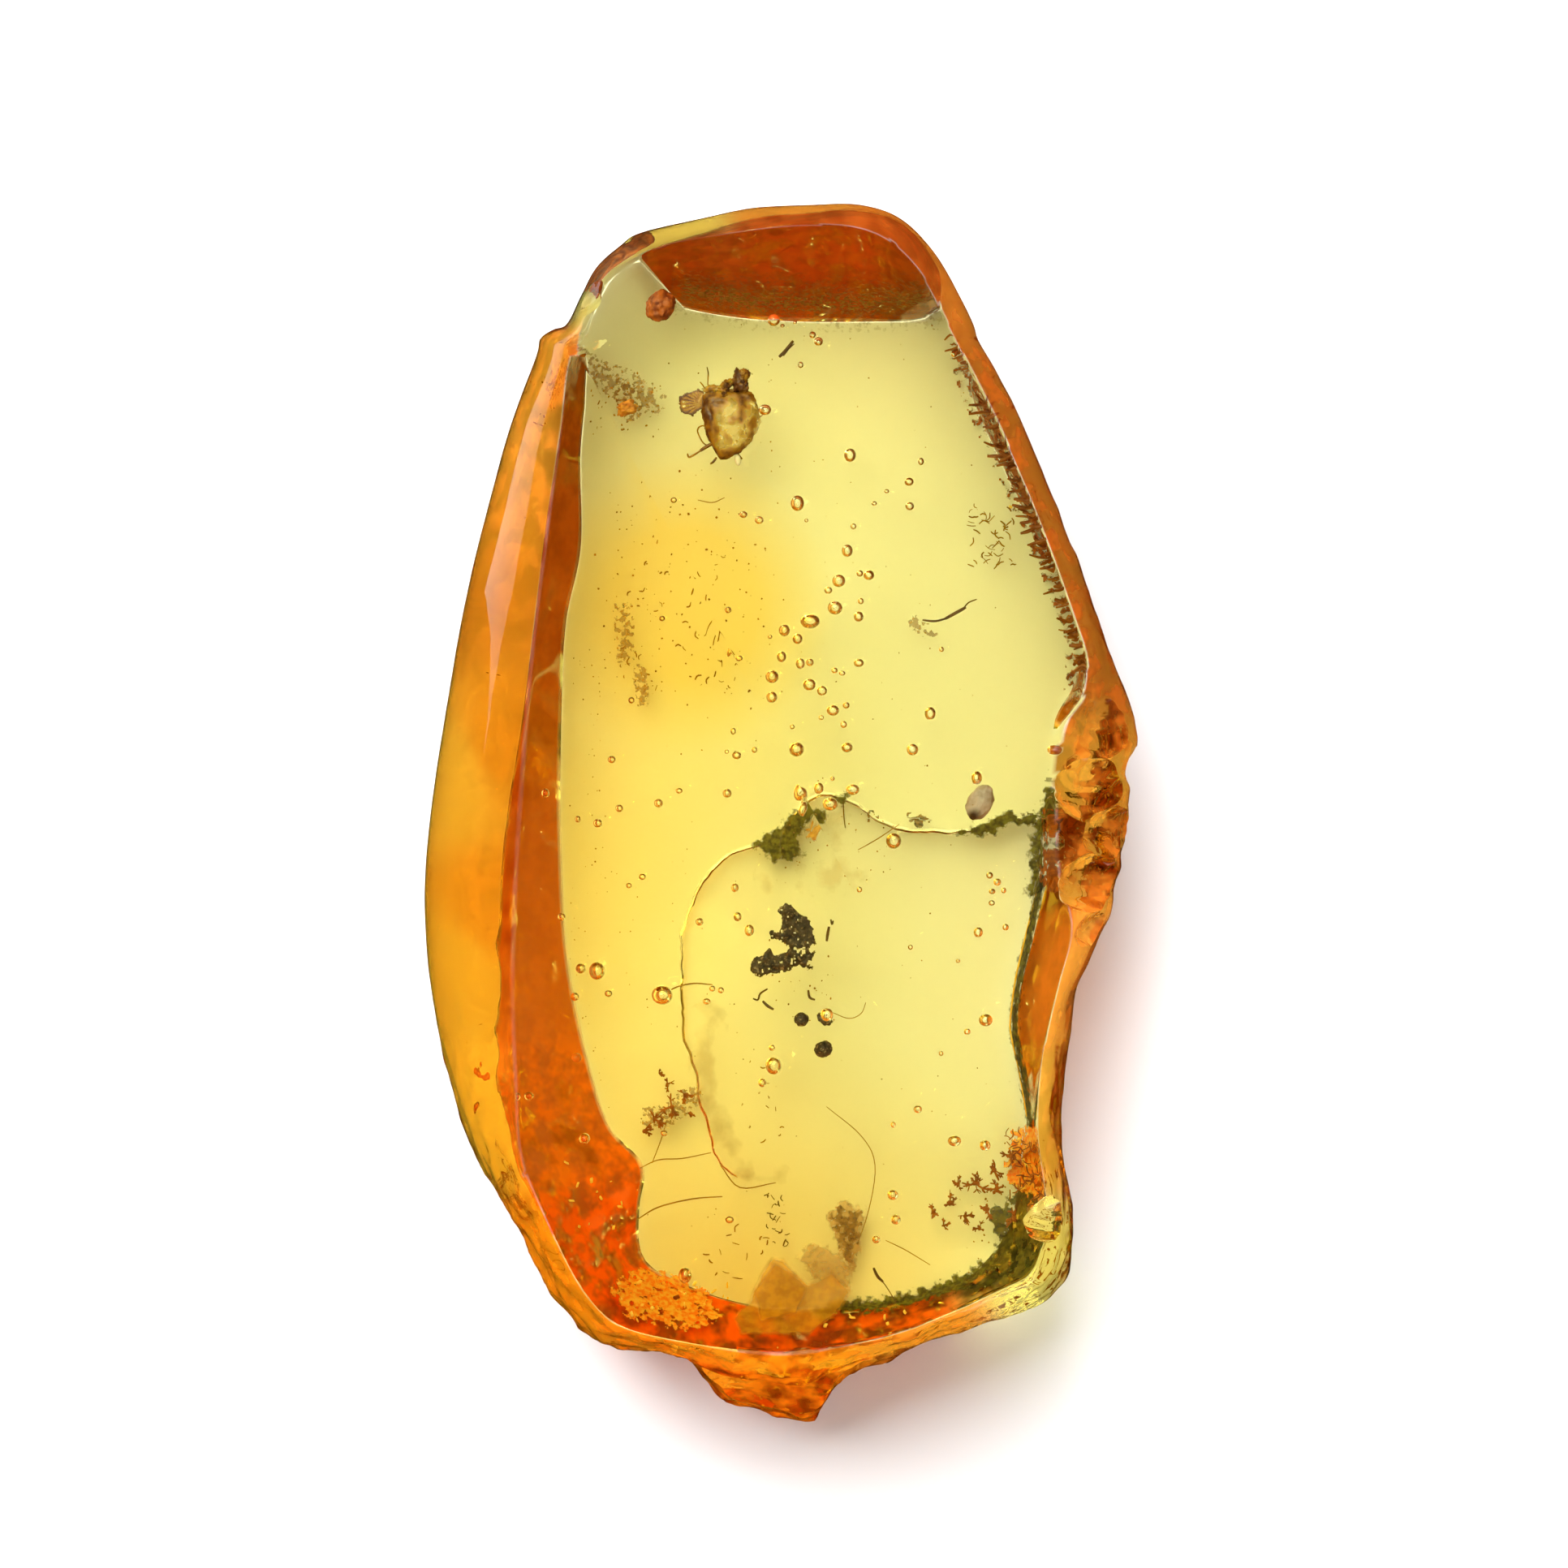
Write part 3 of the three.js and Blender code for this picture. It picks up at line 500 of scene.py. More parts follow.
def chip_cutters():
    sphere, faces = ball(5)
    for i, (centre, radii) in enumerate(CHIPS):
        ripples = 1 + 0.012 * np.sin(24 * np.linalg.norm(sphere - [-0.4, 0.5, -0.8], axis=1))
        lumps = 1 + 0.05 * smooth_noise(sphere * 2.5, 40 + i)
        yield cutter(f"chip_{i}", sphere * (ripples * lumps)[:, None] * radii + centre, faces)


def slab_cutter():
    """The half-space over the ledge at the pointed end, with a shell-like broken face."""
    steps, size = LEDGE_STEPS, LEDGE_SIZE
    u = np.linspace(-size / 2, size / 2, steps)
    v = np.linspace(0, size, steps)
    grid_u, grid_v = np.meshgrid(u, v, indexing="ij")
    flat = np.stack([grid_u, -grid_v, np.zeros_like(grid_u)], axis=-1).reshape(-1, 3)
    flat[:, 2] += 0.5 * scallops(flat / 2.2, 5) - 0.25
    lid = flat * [1, 1, 0] + [0, 0, size]
    count = steps * steps
    corners = np.arange(count).reshape(steps, steps)[:-1, :-1].reshape(-1, 1)
    faces = (corners + [0, 1, steps + 1, steps]).tolist()
    faces += [[b + count for b in reversed(face)] for face in faces]
    index = np.arange(count).reshape(steps, steps)
    border = [*index[:, 0], *index[-1, 1:], *index[-2::-1, -1], *index[0, -2:0:-1]]
    for a, b in zip(border, border[1:] + border[:1]):
        faces.append([a, b, b + count, a + count])
    slope, turn = math.radians(LEDGE_SLOPE_DEGREES), math.radians(LEDGE_TURN_DEGREES)
    turned = Matrix.Rotation(turn, 3, "Z") @ Matrix.Rotation(slope, 3, "X")
    points = np.vstack([flat, lid]) @ np.array(turned).T + [0, LEDGE_Y, LEDGE_Z]
    return cutter("ledge", points, faces)


def basin_cutter():
    """The shallow basin in the underside, with a ragged rim and a gentler wall at its lower right."""
    rim = closed_curve(BASIN_OUTLINE, BASIN_RIM_SAMPLES)
    ragged = 0.1 * layered_noise(np.column_stack([rim * 1.1, 0 * rim[:, :1]]), 61)
    centre = rim.mean(axis=0)
    outward = (rim - centre) / np.linalg.norm(rim - centre, axis=1)[:, None]
    rim = rim + outward * ragged[:, None]
    depth = basin_height(rim)
    gentle = np.clip((rim[:, 0] + 2.2) / 1.5, 0, 1) * np.clip((-rim[:, 1] - 9.0) / 3.0, 0, 1)
    wall = BASIN_WALL_STEEP + (BASIN_WALL_GENTLE - BASIN_WALL_STEEP) * gentle
    points = []
    for inset, share in BASIN_RINGS:
        z = np.full(len(rim), share) if share == BELOW_FLOOR else depth * share
        points.append(np.column_stack([rim - outward * (inset * wall)[:, None], z]))
    count = len(rim)
    here = np.arange(count)
    following = (here + 1) % count
    faces = [here[::-1].tolist(), (here + (len(BASIN_RINGS) - 1) * count).tolist()]
    for base in range(0, (len(BASIN_RINGS) - 1) * count, count):
        faces += (np.column_stack([here, following, following + count, here + count]) + base).tolist()
    return cutter("basin", np.vstack(points), faces)


def cut(obj, cutters):
    """Cuts closed shapes away from an object, then deletes them."""
    for tool in cutters:
        modifier = obj.modifiers.new(tool.name, "BOOLEAN")
        modifier.operation = "DIFFERENCE"
        modifier.solver = "MANIFOLD"
        modifier.object = tool
    depsgraph = bpy.context.evaluated_depsgraph_get()
    result = bpy.data.meshes.new_from_object(obj.evaluated_get(depsgraph))
    obj.modifiers.clear()
    old = obj.data
    obj.data = result
    bpy.data.meshes.remove(old)
    for tool in cutters:
        mesh = tool.data
        bpy.data.objects.remove(tool)
        bpy.data.meshes.remove(mesh)


def add_hollows(mesh, shells):
    """Adds closed shells with their faces turned in, so that they are hollows in the solid."""
    bm = bmesh.new()
    bm.from_mesh(mesh)
    for points, faces in shells:
        verts = [bm.verts.new((p * MM).tolist()) for p in points]
        for face in faces:
            bm.faces.new([verts[i] for i in reversed(face)])
    bm.to_mesh(mesh)
    bm.free()


def bubble_shells():
    sphere, faces = ball(3)
    rng = np.random.default_rng(7)
    for x, y, diameter in BUBBLES:
        height = rng.uniform(*BUBBLE_HEIGHTS)
        squash = rng.uniform(0.75, 1.0, 3)
        yield sphere * squash * diameter / 2 + [x, y, height], faces


def make_amber():
    points, faces = lump_mesh()
    amber = new_object("amber", points, faces)
    mesh = amber.data
    normals = vertex_array(mesh, "normal")
    set_vertices(mesh, weather(points, normals) * MM)
    cut(amber, [*chip_cutters(), slab_cutter(), basin_cutter()])
    mesh = amber.data
    add_hollows(mesh, bubble_shells())
    smooth_by_angle(mesh, SHARP_ANGLE)
    paint_amber(mesh)
    mesh.materials.clear()
    mesh.materials.append(amber_material())
    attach(amber, "root")
    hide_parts("amber_upper_half", "amber_lower_half")


def blend_zones(points, zones):
    """Colour, opaque share and mottling at each point, blended from the zones near it."""
    total = np.zeros((len(points), 5))
    weights = np.zeros(len(points))
    for (cx, cy), colour, opaque, mottled in zones:
        weight = ((points[:, 0] - cx) ** 2 + (points[:, 1] - cy) ** 2 + ZONE_CORE) ** -ZONE_FALLOFF
        total += weight[:, None] * np.array([*colour, opaque, mottled])
        weights += weight
    return total / weights[:, None]


def paint_amber(mesh):
    """Gives each point the strength and colour of the weathered rind there."""
    points = vertex_array(mesh) / MM
    x, y, z = points.T
    window_edge = distance_to(points, BOTTOM_FACE)
    ceiling = basin_height(points)
    near_ceiling = (window_edge < 0.3) | (z > ceiling - 0.05)
    in_basin = (distance_to(points, BASIN_OUTLINE) < 0.2) & (z < ceiling + 0.03) & near_ceiling
    on_window = (np.abs(z) < FACE_TOLERANCE) | in_basin
    on_top = z > top_height(x, y) - FACE_TOLERANCE
    sealed = (window_edge < -0.1) & ~on_window & ~on_top
    clear = on_window | on_top | sealed
    girdle = girdle_height(points[:, :2])
    upper = np.clip((z - girdle) / GIRDLE_BLEND + 0.5, 0, 1)[:, None]
    under, shoulder = blend_zones(points, UNDERSIDE_ZONES), blend_zones(points, SHOULDER_ZONES)
    mixed = under + (shoulder - under) * upper
    mixed[clear] = [1, 1, 1, 0, 0]
    set_attribute(mesh, "tint", mixed[:, :3])
    set_attribute(mesh, "opaque", mixed[:, 3])
    set_attribute(mesh, "mottled", mixed[:, 4])


# The things sealed in the amber

# The bug: places relative to its middle
INSECT_PLACE = (-2.2, 16.0, 6.0)
INSECT_OUTLINE = [
    (-0.95, 1.42), (-0.2, 1.5), (0.67, 1.45), (0.97, 1.2), (1.17, 0.23), (0.9, -0.4), (0.27, -1.1),
    (-0.4, -1.37), (-0.75, -0.85), (-1.03, -0.27), (-1.2, 0.57), (-1.12, 1.1),
]
INSECT_MIDDLE = (0.0, 0.2)
INSECT_HALF_HEIGHT = 0.52
INSECT_RIM_SAMPLES = 720
HEAD_LUMPS = [
    ((0.36, 1.82, 0.05), (0.27, 0.42, 0.26), 0.9),
    ((0.52, 2.12, 0.06), (0.24, 0.26, 0.2), 0.65),
    ((0.25, 2.2, 0.05), (0.12, 0.2, 0.16), 1.0),
    ((0.56, 1.62, 0.05), (0.16, 0.3, 0.2), 1.0),
    ((-0.18, 1.72, 0.0), (0.2, 0.2, 0.16), 0.8),
    ((-0.02, 1.86, 0.05), (0.15, 0.12, 0.12), 0.9),
    ((-0.32, 1.5, 0.1), (0.22, 0.13, 0.15), 0.7),
    ((-0.7, 1.5, 0.0), (0.4, 0.22, 0.2), 0.3),
    ((-0.28, 1.3, 0.2), (0.14, 0.16, 0.14), 0.9),
]
FAN_ROOT = (-1.16, 0.98, 0.02)
FAN_OUTLINE = [
    (-2.05, 0.58), (-2.16, 0.95), (-2.1, 1.26), (-1.78, 1.43), (-1.37, 1.57), (-1.1, 1.42),
    (-1.1, 0.85), (-1.6, 0.42),
]
FAN_ANGLE = 150
FAN_PITCH = 13.5
LIMB_DARKNESS = 0.75
LIMBS = [
    ([(-0.95, 1.7, 0.1), (-0.94, 2.0, 0.15), (-0.93, 2.2, 0.18), (-0.98, 2.45, 0.2)], 0.028),
    ([(-1.05, 1.5, 0.0), (-1.12, 1.65, 0.0), (-1.27, 1.84, 0.05)], 0.03),
    ([(-1.05, 0.02, 0), (-1.2, 0.04, 0.05), (-1.34, -0.05, 0.05), (-1.36, -0.25, 0.0), (-1.14, -0.66, 0.0),
      (-0.85, -0.8, 0)], 0.032),
    ([(-0.6, -0.6, 0.0), (-0.95, -0.78, 0.0), (-1.27, -0.98, 0.0)], 0.075),
    ([(-1.2, -0.94, 0.0), (-1.54, -1.16, 0.0), (-1.73, -1.24, 0.0), (-1.79, -1.1, 0.05)], 0.042),
    ([(0.2, -1.05, -0.1), (0.34, -1.2, -0.1), (0.45, -1.32, -0.1)], 0.045),
    ([(-0.6, -1.25, -0.1), (-0.72, -1.42, -0.1), (-0.86, -1.52, -0.1)], 0.05),
    ([(1.1, 0.36, 0.0), (1.2, 0.42, 0.02), (1.3, 0.5, 0.02)], 0.025),
]
INSECT_DROP = ((0.27, -1.36, -0.05), (0.13, 0.25, 0.12))

CHAR_PLACE = (0.0, -5.0, 6.0)
CHAR_OUTLINE = [
    (0.08, 1.5), (0.42, 1.2), (0.79, 1.0), (1.0, 0.8), (1.13, 0.5), (1.17, 0.17), (1.3, -0.12),
    (1.3, -0.4), (1.12, -0.73), (1.18, -1.03), (1.07, -1.23), (0.77, -1.2), (0.55, -1.1),
    (0.27, -1.23), (0.0, -1.33), (-0.63, -1.4), (-0.91, -1.53), (-1.37, -1.4), (-1.27, -0.73),
    (-0.98, -0.67), (-0.67, -0.33), (-0.47, -0.6), (-0.16, -0.6), (0.08, -0.46), (-0.06, -0.18),
    (-0.64, 0.09), (-0.67, 0.3), (-0.53, 0.43), (-0.37, 0.3), (-0.16, 0.46), (-0.13, 0.8),
    (-0.28, 1.27), (-0.09, 1.41),
]
CHAR_THICKNESS = 0.5
CHAR_RIM_SAMPLES = 260

# Rounded grains: node, centre, radii, turn in degrees, roughness of the surface, material
GRAINS = [
    ("charred_grain_1", (0.67, -8.27, 6.0), (0.3, 0.28, 0.26), 0, 0.10, "char"),
    ("charred_grain_2", (1.6, -8.25, 6.0), (0.34, 0.22, 0.24), -35, 0.22, "char"),
    ("charred_grain_3", (1.57, -9.5, 6.0), (0.37, 0.32, 0.3), 20, 0.12, "char"),
    ("brown_grain", (-5.07, 20.95, 6.0), (0.56, 0.66, 0.45), -30, 0.14, "brown"),
    ("orange_grain", (-6.45, 16.75, 6.0), (0.4, 0.3, 0.3), 15, 0.28, "orange"),
    ("pale_pellet", (8.0, 0.6, 6.0), (0.5, 0.78, 0.4), -25, 0.10, "pale"),
]

# Material of a grain: two colours, scale and roughness
GRAIN_COLOURS = [
    ("brown", (0.20, 0.035, 0.004), (0.44, 0.11, 0.012), 3.0, 0.5),
    ("orange", (0.42, 0.14, 0.01), (0.62, 0.30, 0.03), 5.0, 0.6),
]

# Films in the amber. Each has a material, a height over the underside, a half-width (none for a
# closed patch) and the points of its line or outline
FILMS = [
    ("olive", 0.5, None, [
        (-2.1, -1.17), (-1.43, -1.0), (-0.57, -0.5), (0.2, 0.27), (1.3, 0.32), (1.57, 0.61), (2.5, 1.2),
        (2.67, 0.87), (2.32, 0.37), (1.63, 0.2), (1.56, -0.37), (0.79, -0.4), (0.45, -1.17), (0.79, -1.6),
        (0.37, -1.85), (-0.4, -1.93), (-0.57, -2.02), (-1.25, -1.5), (-1.77, -1.17),
    ]),
    ("olive", 0.5, None, [
        (6.73, -0.67), (7.43, -0.33), (8.1, -0.2), (9.13, 0.27), (9.63, 0.03), (9.9, 0.2), (10.5, 0.3),
        (10.3, -0.5), (9.37, -0.4), (8.53, -0.83), (7.67, -0.92), (6.9, -0.78),
    ]),
    ("olive", 0.6, 0.42, [(11.5, 3.0), (11.1, 1.4), (10.6, 0.2), (10.35, -0.7), (10.3, -1.8), (10.1, -3.0)]),
    ("rind", 0.9, None, [(10.5, 0.3), (11.9, 0.2), (11.9, -2.9), (10.7, -3.2), (10.35, -2.4), (10.6, -1.2)]),
    ("olive_line", 0.3, 0.26, [(10.45, -2.6), (10.15, -4.2), (9.9, -5.2), (9.55, -6.7), (9.35, -8.2),
                               (9.35, -9.0), (9.7, -10.6), (10.0, -12.6)]),
    ("olive", 0.35, 0.36, [(1.4, -20.5), (2.2, -20.25), (3.6, -20.2), (5.0, -19.95), (6.5, -19.5),
                           (7.6, -19.0), (8.6, -18.3), (9.2, -17.2)]),
    ("olive_loose", 0.6, None, [(8.3, -16.2), (9.5, -15.4), (10.3, -15.6), (10.4, -17.5), (9.6, -19.2),
                                (8.8, -18.9), (8.4, -17.6)]),
    ("soot", 0.9, None, [(4.9, 0.1), (5.5, 0.15), (5.9, -0.2), (5.4, -0.55), (4.95, -0.3)]),
    ("soot", 0.9, None, [(3.0, 0.05), (3.5, 0.2), (3.75, -0.05), (3.3, -0.25)]),
    ("tan", 1.0, None, [(1.6, 0.1), (2.0, 0.35), (2.45, 0.2), (2.5, -0.9), (2.1, -1.35), (1.6, -1.2)]),
    ("tan", 1.0, None, [(0.3, -1.9), (0.8, -1.95), (0.9, -2.9), (0.6, -3.3), (0.15, -3.1)]),
    ("tan", 1.0, None, [(-1.3, -2.3), (-0.6, -2.2), (-0.4, -2.8), (-0.8, -3.5), (-1.2, -3.0)]),
    ("tan", 1.0, None, [(0.9, -2.2), (2.6, -1.8), (3.4, -2.5), (2.2, -3.2), (1.0, -3.2)]),
    # Painted highlight: a pale sheet on the dark crack in place of light off its facets
    ("painted_shine", 1.15, None, [(0.2, 0.15), (-0.25, -0.45), (-0.42, -1.1), (-0.35, -1.85), (-0.22, -1.75),
                           (-0.22, -1.1), (-0.02, -0.45)]),
    ("rust", 1.2, None, [(0.75, -0.4), (1.3, -0.42), (1.45, -0.9), (1.1, -1.1), (0.75, -0.9)]),
    ("grey", 0.5, 0.7, [(-3.3, -8.4), (-3.3, -10.5), (-3.1, -12.2), (-2.75, -13.2), (-2.3, -14.0),
                        (-1.7, -14.6)]),
    ("grey", 0.5, 0.5, [(-2.0, -14.7), (-1.2, -15.0), (-0.4, -14.9)]),
    ("flake", 1.5, None, [
        (-0.7, -18.13), (-0.2, -18.23), (0.87, -19.2), (1.83, -18.63), (2.63, -19.6), (2.23, -20.37),
        (1.55, -20.97), (0.97, -21.4), (-1.97, -21.4), (-2.37, -20.67), (-1.67, -19.9), (-1.2, -18.8),
    ]),
    ("flake", 1.7, None, [(-0.6, -18.3), (0.1, -18.6), (0.9, -19.4), (0.4, -20.6), (-1.2, -20.9),
                          (-1.5, -19.6)]),
    ("mauve", 1.2, None, [
        (0.27, -18.23), (0.87, -17.63), (1.63, -17.63), (2.23, -18.23), (2.63, -18.8), (2.53, -19.6),
        (1.83, -19.4), (0.97, -19.1),
    ]),
    ("mauve", 1.0, None, [
        (1.55, -16.27), (2.33, -15.8), (3.3, -16.17), (2.82, -18.8), (2.23, -18.7), (1.93, -17.8),
        (1.65, -17.07),
    ]),
    ("soot_thin", 1.1, None, [
        (1.65, -16.4), (2.3, -15.95), (3.1, -16.3), (2.7, -18.5), (2.3, -18.5), (2.0, -17.6),
    ]),
    ("stain", 1.4, 0.6, [(-8.3, 18.4), (-7.3, 17.9), (-6.4, 17.6), (-5.7, 17.1)]),
    ("stain", 1.4, 0.45, [(-6.7, 17.6), (-6.5, 16.8)]),
    ("stain", 1.3, 0.36, [(-6.8, 8.5), (-6.75, 7.6), (-6.7, 6.6)]),
    ("stain", 1.3, 0.26, [(-6.1, 6.0), (-6.0, 4.7)]),
    ("stain", 1.3, 0.26, [(5.2, 8.0), (5.9, 7.5)]),
    ("stain", 1.0, 0.4, [(-5.7, -12.4), (-4.9, -12.3), (-4.0, -11.6)]),
    ("fringe", 0.15, 1.0, [(-3.9, 21.6), (-1.5, 21.2), (3.0, 21.1), (5.6, 21.3)]),
    ("rind", 0.3, 1.0, [(7.0, 20.8), (7.7, 19.6), (8.2, 18.0), (9.0, 16.1), (9.9, 14.2), (10.8, 12.1),
                        (11.7, 10.1), (12.4, 8.3), (12.7, 7.0), (12.6, 5.4)]),
    ("plume", 1.0, None, [(9.95, -15.6), (11.0, -15.5), (12.0, -15.9), (12.0, -16.6), (10.8, -17.2),
                          (9.95, -16.9)]),
    ("crust", 0.5, None, [(9.2, -13.0), (10.2, -12.6), (11.0, -13.6), (11.0, -15.6), (10.2, -16.4),
                          (9.3, -15.8), (8.9, -14.4)]),
    ("crust", 0.4, None, [(-6.4, -18.6), (-4.6, -18.9), (-3.4, -19.6), (-2.6, -20.8), (-4.2, -21.2),
                          (-6.6, -20.6), (-7.4, -19.4)]),
]
# Material of a film: two colours, opacity, grains to the millimetre and how broken up it is
FILM_LOOKS = {
    "olive": ((0.050, 0.042, 0.003), (0.16, 0.15, 0.02), 0.97, 3.0, 0.5),
    "olive_line": ((0.020, 0.017, 0.001), (0.12, 0.11, 0.010), 0.97, 2.6, 0.35),
    "olive_loose": ((0.050, 0.045, 0.004), (0.14, 0.12, 0.02), 0.85, 2.2, 1.1),
    "soot": ((0.06, 0.035, 0.005), (0.25, 0.11, 0.01), 0.85, 4.0, 1.0),
    "soot_thin": ((0.16, 0.08, 0.02), (0.30, 0.16, 0.05), 0.75, 3.5, 1.3),
    "tan": ((0.66, 0.44, 0.12), (0.52, 0.30, 0.08), 0.26, 1.6, 0.5),
    # Colours of the painted highlight on the crack
    "painted_shine": ((0.95, 0.90, 0.55), (0.9, 0.8, 0.4), 0.8, 1.0, 0.0),
    "rust": ((0.50, 0.20, 0.02), (0.75, 0.45, 0.08), 0.9, 4.0, 0.5),
    "grey": ((0.40, 0.31, 0.18), (0.5, 0.4, 0.25), 0.30, 0.8, 0.7),
    "flake": ((0.50, 0.24, 0.02), (0.70, 0.36, 0.03), 0.60, 1.4, 0.15),
    "mauve": ((0.55, 0.33, 0.14), (0.42, 0.22, 0.08), 0.55, 2.5, 0.5),
    "stain": ((0.40, 0.20, 0.02), (0.22, 0.08, 0.01), 0.62, 5.0, 1.5),
    "fringe": ((0.26, 0.16, 0.03), (0.50, 0.32, 0.09), 0.66, 5.0, 0.45),
    "rind": ((0.20, 0.040, 0.003), (0.44, 0.11, 0.008), 0.96, 2.8, 0.8),
    "plume": ((0.80, 0.55, 0.35), (0.55, 0.28, 0.12), 0.55, 1.6, 0.7),
    "crust": ((0.95, 0.22, 0.010), (1.0, 0.55, 0.07), 0.9, 3.2, 1.0),
}
FILM_SLOTS = {"olive": "charcoal", "olive_loose": "charcoal", "soot": "charcoal", "tan": "pale_matter",
              "painted_shine": "pale_matter", "rust": "orange_matter", "grey": "pale_matter",
              "mauve": "pale_matter", "crust": "orange_matter", "plume": "pale_matter",
              "olive_line": "charcoal"}
FILM_STEP = 0.07
EDGE_FADE = 0.3
EDGE_FADE_SOFT = 0.6
# Films with a soft edge
SMOOTH_FILMS = {"grey", "tan", "painted_shine", "plume", "fringe"}
# Two colours of each material of fibres
THREAD_COLOURS = {
    "thread": ((0.34, 0.17, 0.015), (0.22, 0.09, 0.008)),
    "soot": ((0.07, 0.035, 0.006), (0.13, 0.06, 0.01)),
    "rust": ((0.34, 0.095, 0.006), (0.18, 0.045, 0.003)),
    # The bright gold colours are a painted glint along a crack, not a fibre
    "painted_glint_line": ((0.98, 0.70, 0.10), (0.90, 0.50, 0.05)),
}


def branch(heap, rng, start, turn, reach, forks):
    """A crooked arm that forks, lying nearly level."""
    bent = turn + rng.uniform(-0.5, 0.5)
    middle = start + reach * 0.5 * np.array([math.cos(turn), math.sin(turn), rng.uniform(-0.1, 0.1)])
    tip = middle + reach * 0.5 * np.array([math.cos(bent), math.sin(bent), rng.uniform(-0.1, 0.1)])
    heap.add(*tube([start, middle, tip], rng.uniform(0.02, 0.05), 5, 0.3))
    for _ in range(forks):
        side = bent + rng.choice([-1, 1]) * rng.uniform(0.4, 1.2)
        branch(heap, rng, middle, side, reach * rng.uniform(0.25, 0.5), 0)


def make_threads():
    rng = np.random.default_rng(21)
    heaps = {look: Heap() for look in THREAD_COLOURS}
    for radius, look, points in THREADS:
        heaps[look].add(*tube(points, radius))
    for (cx, cy), (wide, tall), count, length, look in HAIR_FIELDS:
        for _ in range(count):
            x, y = cx + wide * rng.uniform(-1, 1), cy + tall * rng.uniform(-1, 1)
            turn, reach = rng.uniform(0, np.pi), length * rng.uniform(0.4, 1.1)
            z = lowest_at(x, y) + rng.uniform(0.5, 2.0)
            bend = rng.uniform(-0.3, 0.3) * reach
            dx, dy = math.cos(turn) * reach / 2, math.sin(turn) * reach / 2
            middle = (x - bend * math.sin(turn), y + bend * math.cos(turn), z)
            radius = rng.uniform(0.014, 0.034)
            heaps[look].add(*tube([(x - dx, y - dy, z), middle, (x + dx, y + dy, z)], radius, 4))
    for (cx, cy), reach, arms in SPRIGS:
        z = lowest_at(cx, cy) + rng.uniform(0.8, 1.8)
        centre = np.array([cx, cy, z])
        heaps["rust"].add(*lump(centre, reach * rng.uniform(0.12, 0.28, 3), 0, 0.3, 3, 8, 3.0))
        for _ in range(arms):
            turn = rng.uniform(0, 2 * np.pi)
            branch(heaps["rust"], rng, centre, turn, reach * rng.uniform(0.25, 1.1), 2)
    for look, heap in heaps.items():
        make_plain(heap, f"fibres_{look}", "brown_matter", (*THREAD_COLOURS[look], 2.0, 0.6))


def make_spikes():
    """Brown spikes that point left from the weathered band at the right."""
    rng = np.random.default_rng(5)
    line = np.array(SPIKE_LINE)
    along = np.concatenate([[0], np.cumsum(np.linalg.norm(np.diff(line, axis=0), axis=1))])
    heap = Heap()
    for _ in range(SPIKE_COUNT):
        at = rng.uniform(0, along[-1])
        x, y = (np.interp(at, along, line[:, k]) for k in range(2))
        x += rng.uniform(-0.05, 0.55)
        z = lowest_at(x, y) + rng.uniform(0.3, 1.6)
        turn = math.radians(rng.normal(182, 30))
        reach = rng.uniform(0.25, 0.95)
        tip = (x + math.cos(turn) * reach, y + math.sin(turn) * reach, z + rng.uniform(-0.1, 0.3))
        middle = ((x + tip[0]) / 2, (y + tip[1]) / 2 + rng.uniform(-0.06, 0.06), z + 0.05)
        heap.add(*tube([(x, y, z), middle, tip], rng.uniform(0.04, 0.11), 5, 0.1))
    make_plain(heap, "band_spikes", "brown_matter", ((0.22, 0.06, 0.006), (0.38, 0.13, 0.012), 2.0, 0.5))


# Painted glints: bright gold lumps that stand in for light caught by the broken rind's facets
def make_painted_glints():
    rng = np.random.default_rng(33)
    heap = Heap()
    for (cx, cy), (wide, tall), count in PAINTED_GLINT_FIELDS:
        spots = np.array([cx, cy]) + np.array([wide, tall]) * rng.uniform(-1, 1, (count, 2))
        heights = lowest(spots) + rng.uniform(0.5, 1.6, count)
        deep = distance_to(spots, OUTLINE) < -1.0
        for spot, z in zip(spots[deep], heights[deep]):
            radii = rng.uniform([0.04, 0.02, 0.02], [0.16, 0.07, 0.03])
            heap.add(*lump(np.array([*spot, z]), radii, rng.uniform(0, 180), 0.4, 2, 4, 3.0))
    make_plain(heap, "painted_glints", "orange_matter", ((1.0, 0.62, 0.08), (1.0, 0.80, 0.22), 1.0, 0.3))


def make_specks():
    rng = np.random.default_rng(11)
    heap = Heap()
    for i, ((cx, cy), (wide, tall), count, largest) in enumerate(SPECK_FIELDS):
        across, along = rng.uniform(-1, 1, count), rng.uniform(-1, 1, count)
        spots = np.column_stack([cx + wide * across, cy + tall * along])
        keep = distance_to(spots, BOTTOM_FACE) < -0.2
        floor = lowest(spots)
        for (x, y), below, wanted in zip(spots, floor, keep):
            radii = largest * rng.uniform(0.3, 1.0) * rng.uniform(0.5, 1.0, 3)
            height = rng.uniform(0.4, 9.0)
            turn = rng.uniform(0, 180)
            if wanted:
                heap.add(*lump(np.array([x, y, below + height]), radii, turn, 0.2, 2, i))
    make_plain(heap, "specks", "brown_matter", ((0.14, 0.06, 0.006), (0.36, 0.16, 0.01), 1.0, 0.6))


# Materials

def principled(name, **values):
    material = bpy.data.materials.new(name)
    material.use_nodes = True
    shader = material.node_tree.nodes["Principled BSDF"]
    for socket, value in values.items():
        shader.inputs[socket.replace("_", " ")].default_value = value
    return material, shader


def node(tree, kind, **settings):
    """A node with its properties and its sockets' values set."""
    made = tree.nodes.new("ShaderNode" + kind)
    for name, value in settings.items():
        if hasattr(made, name):
            setattr(made, name, value)
        else:
            made.inputs[name.replace("_", " ")].default_value = value
    return made


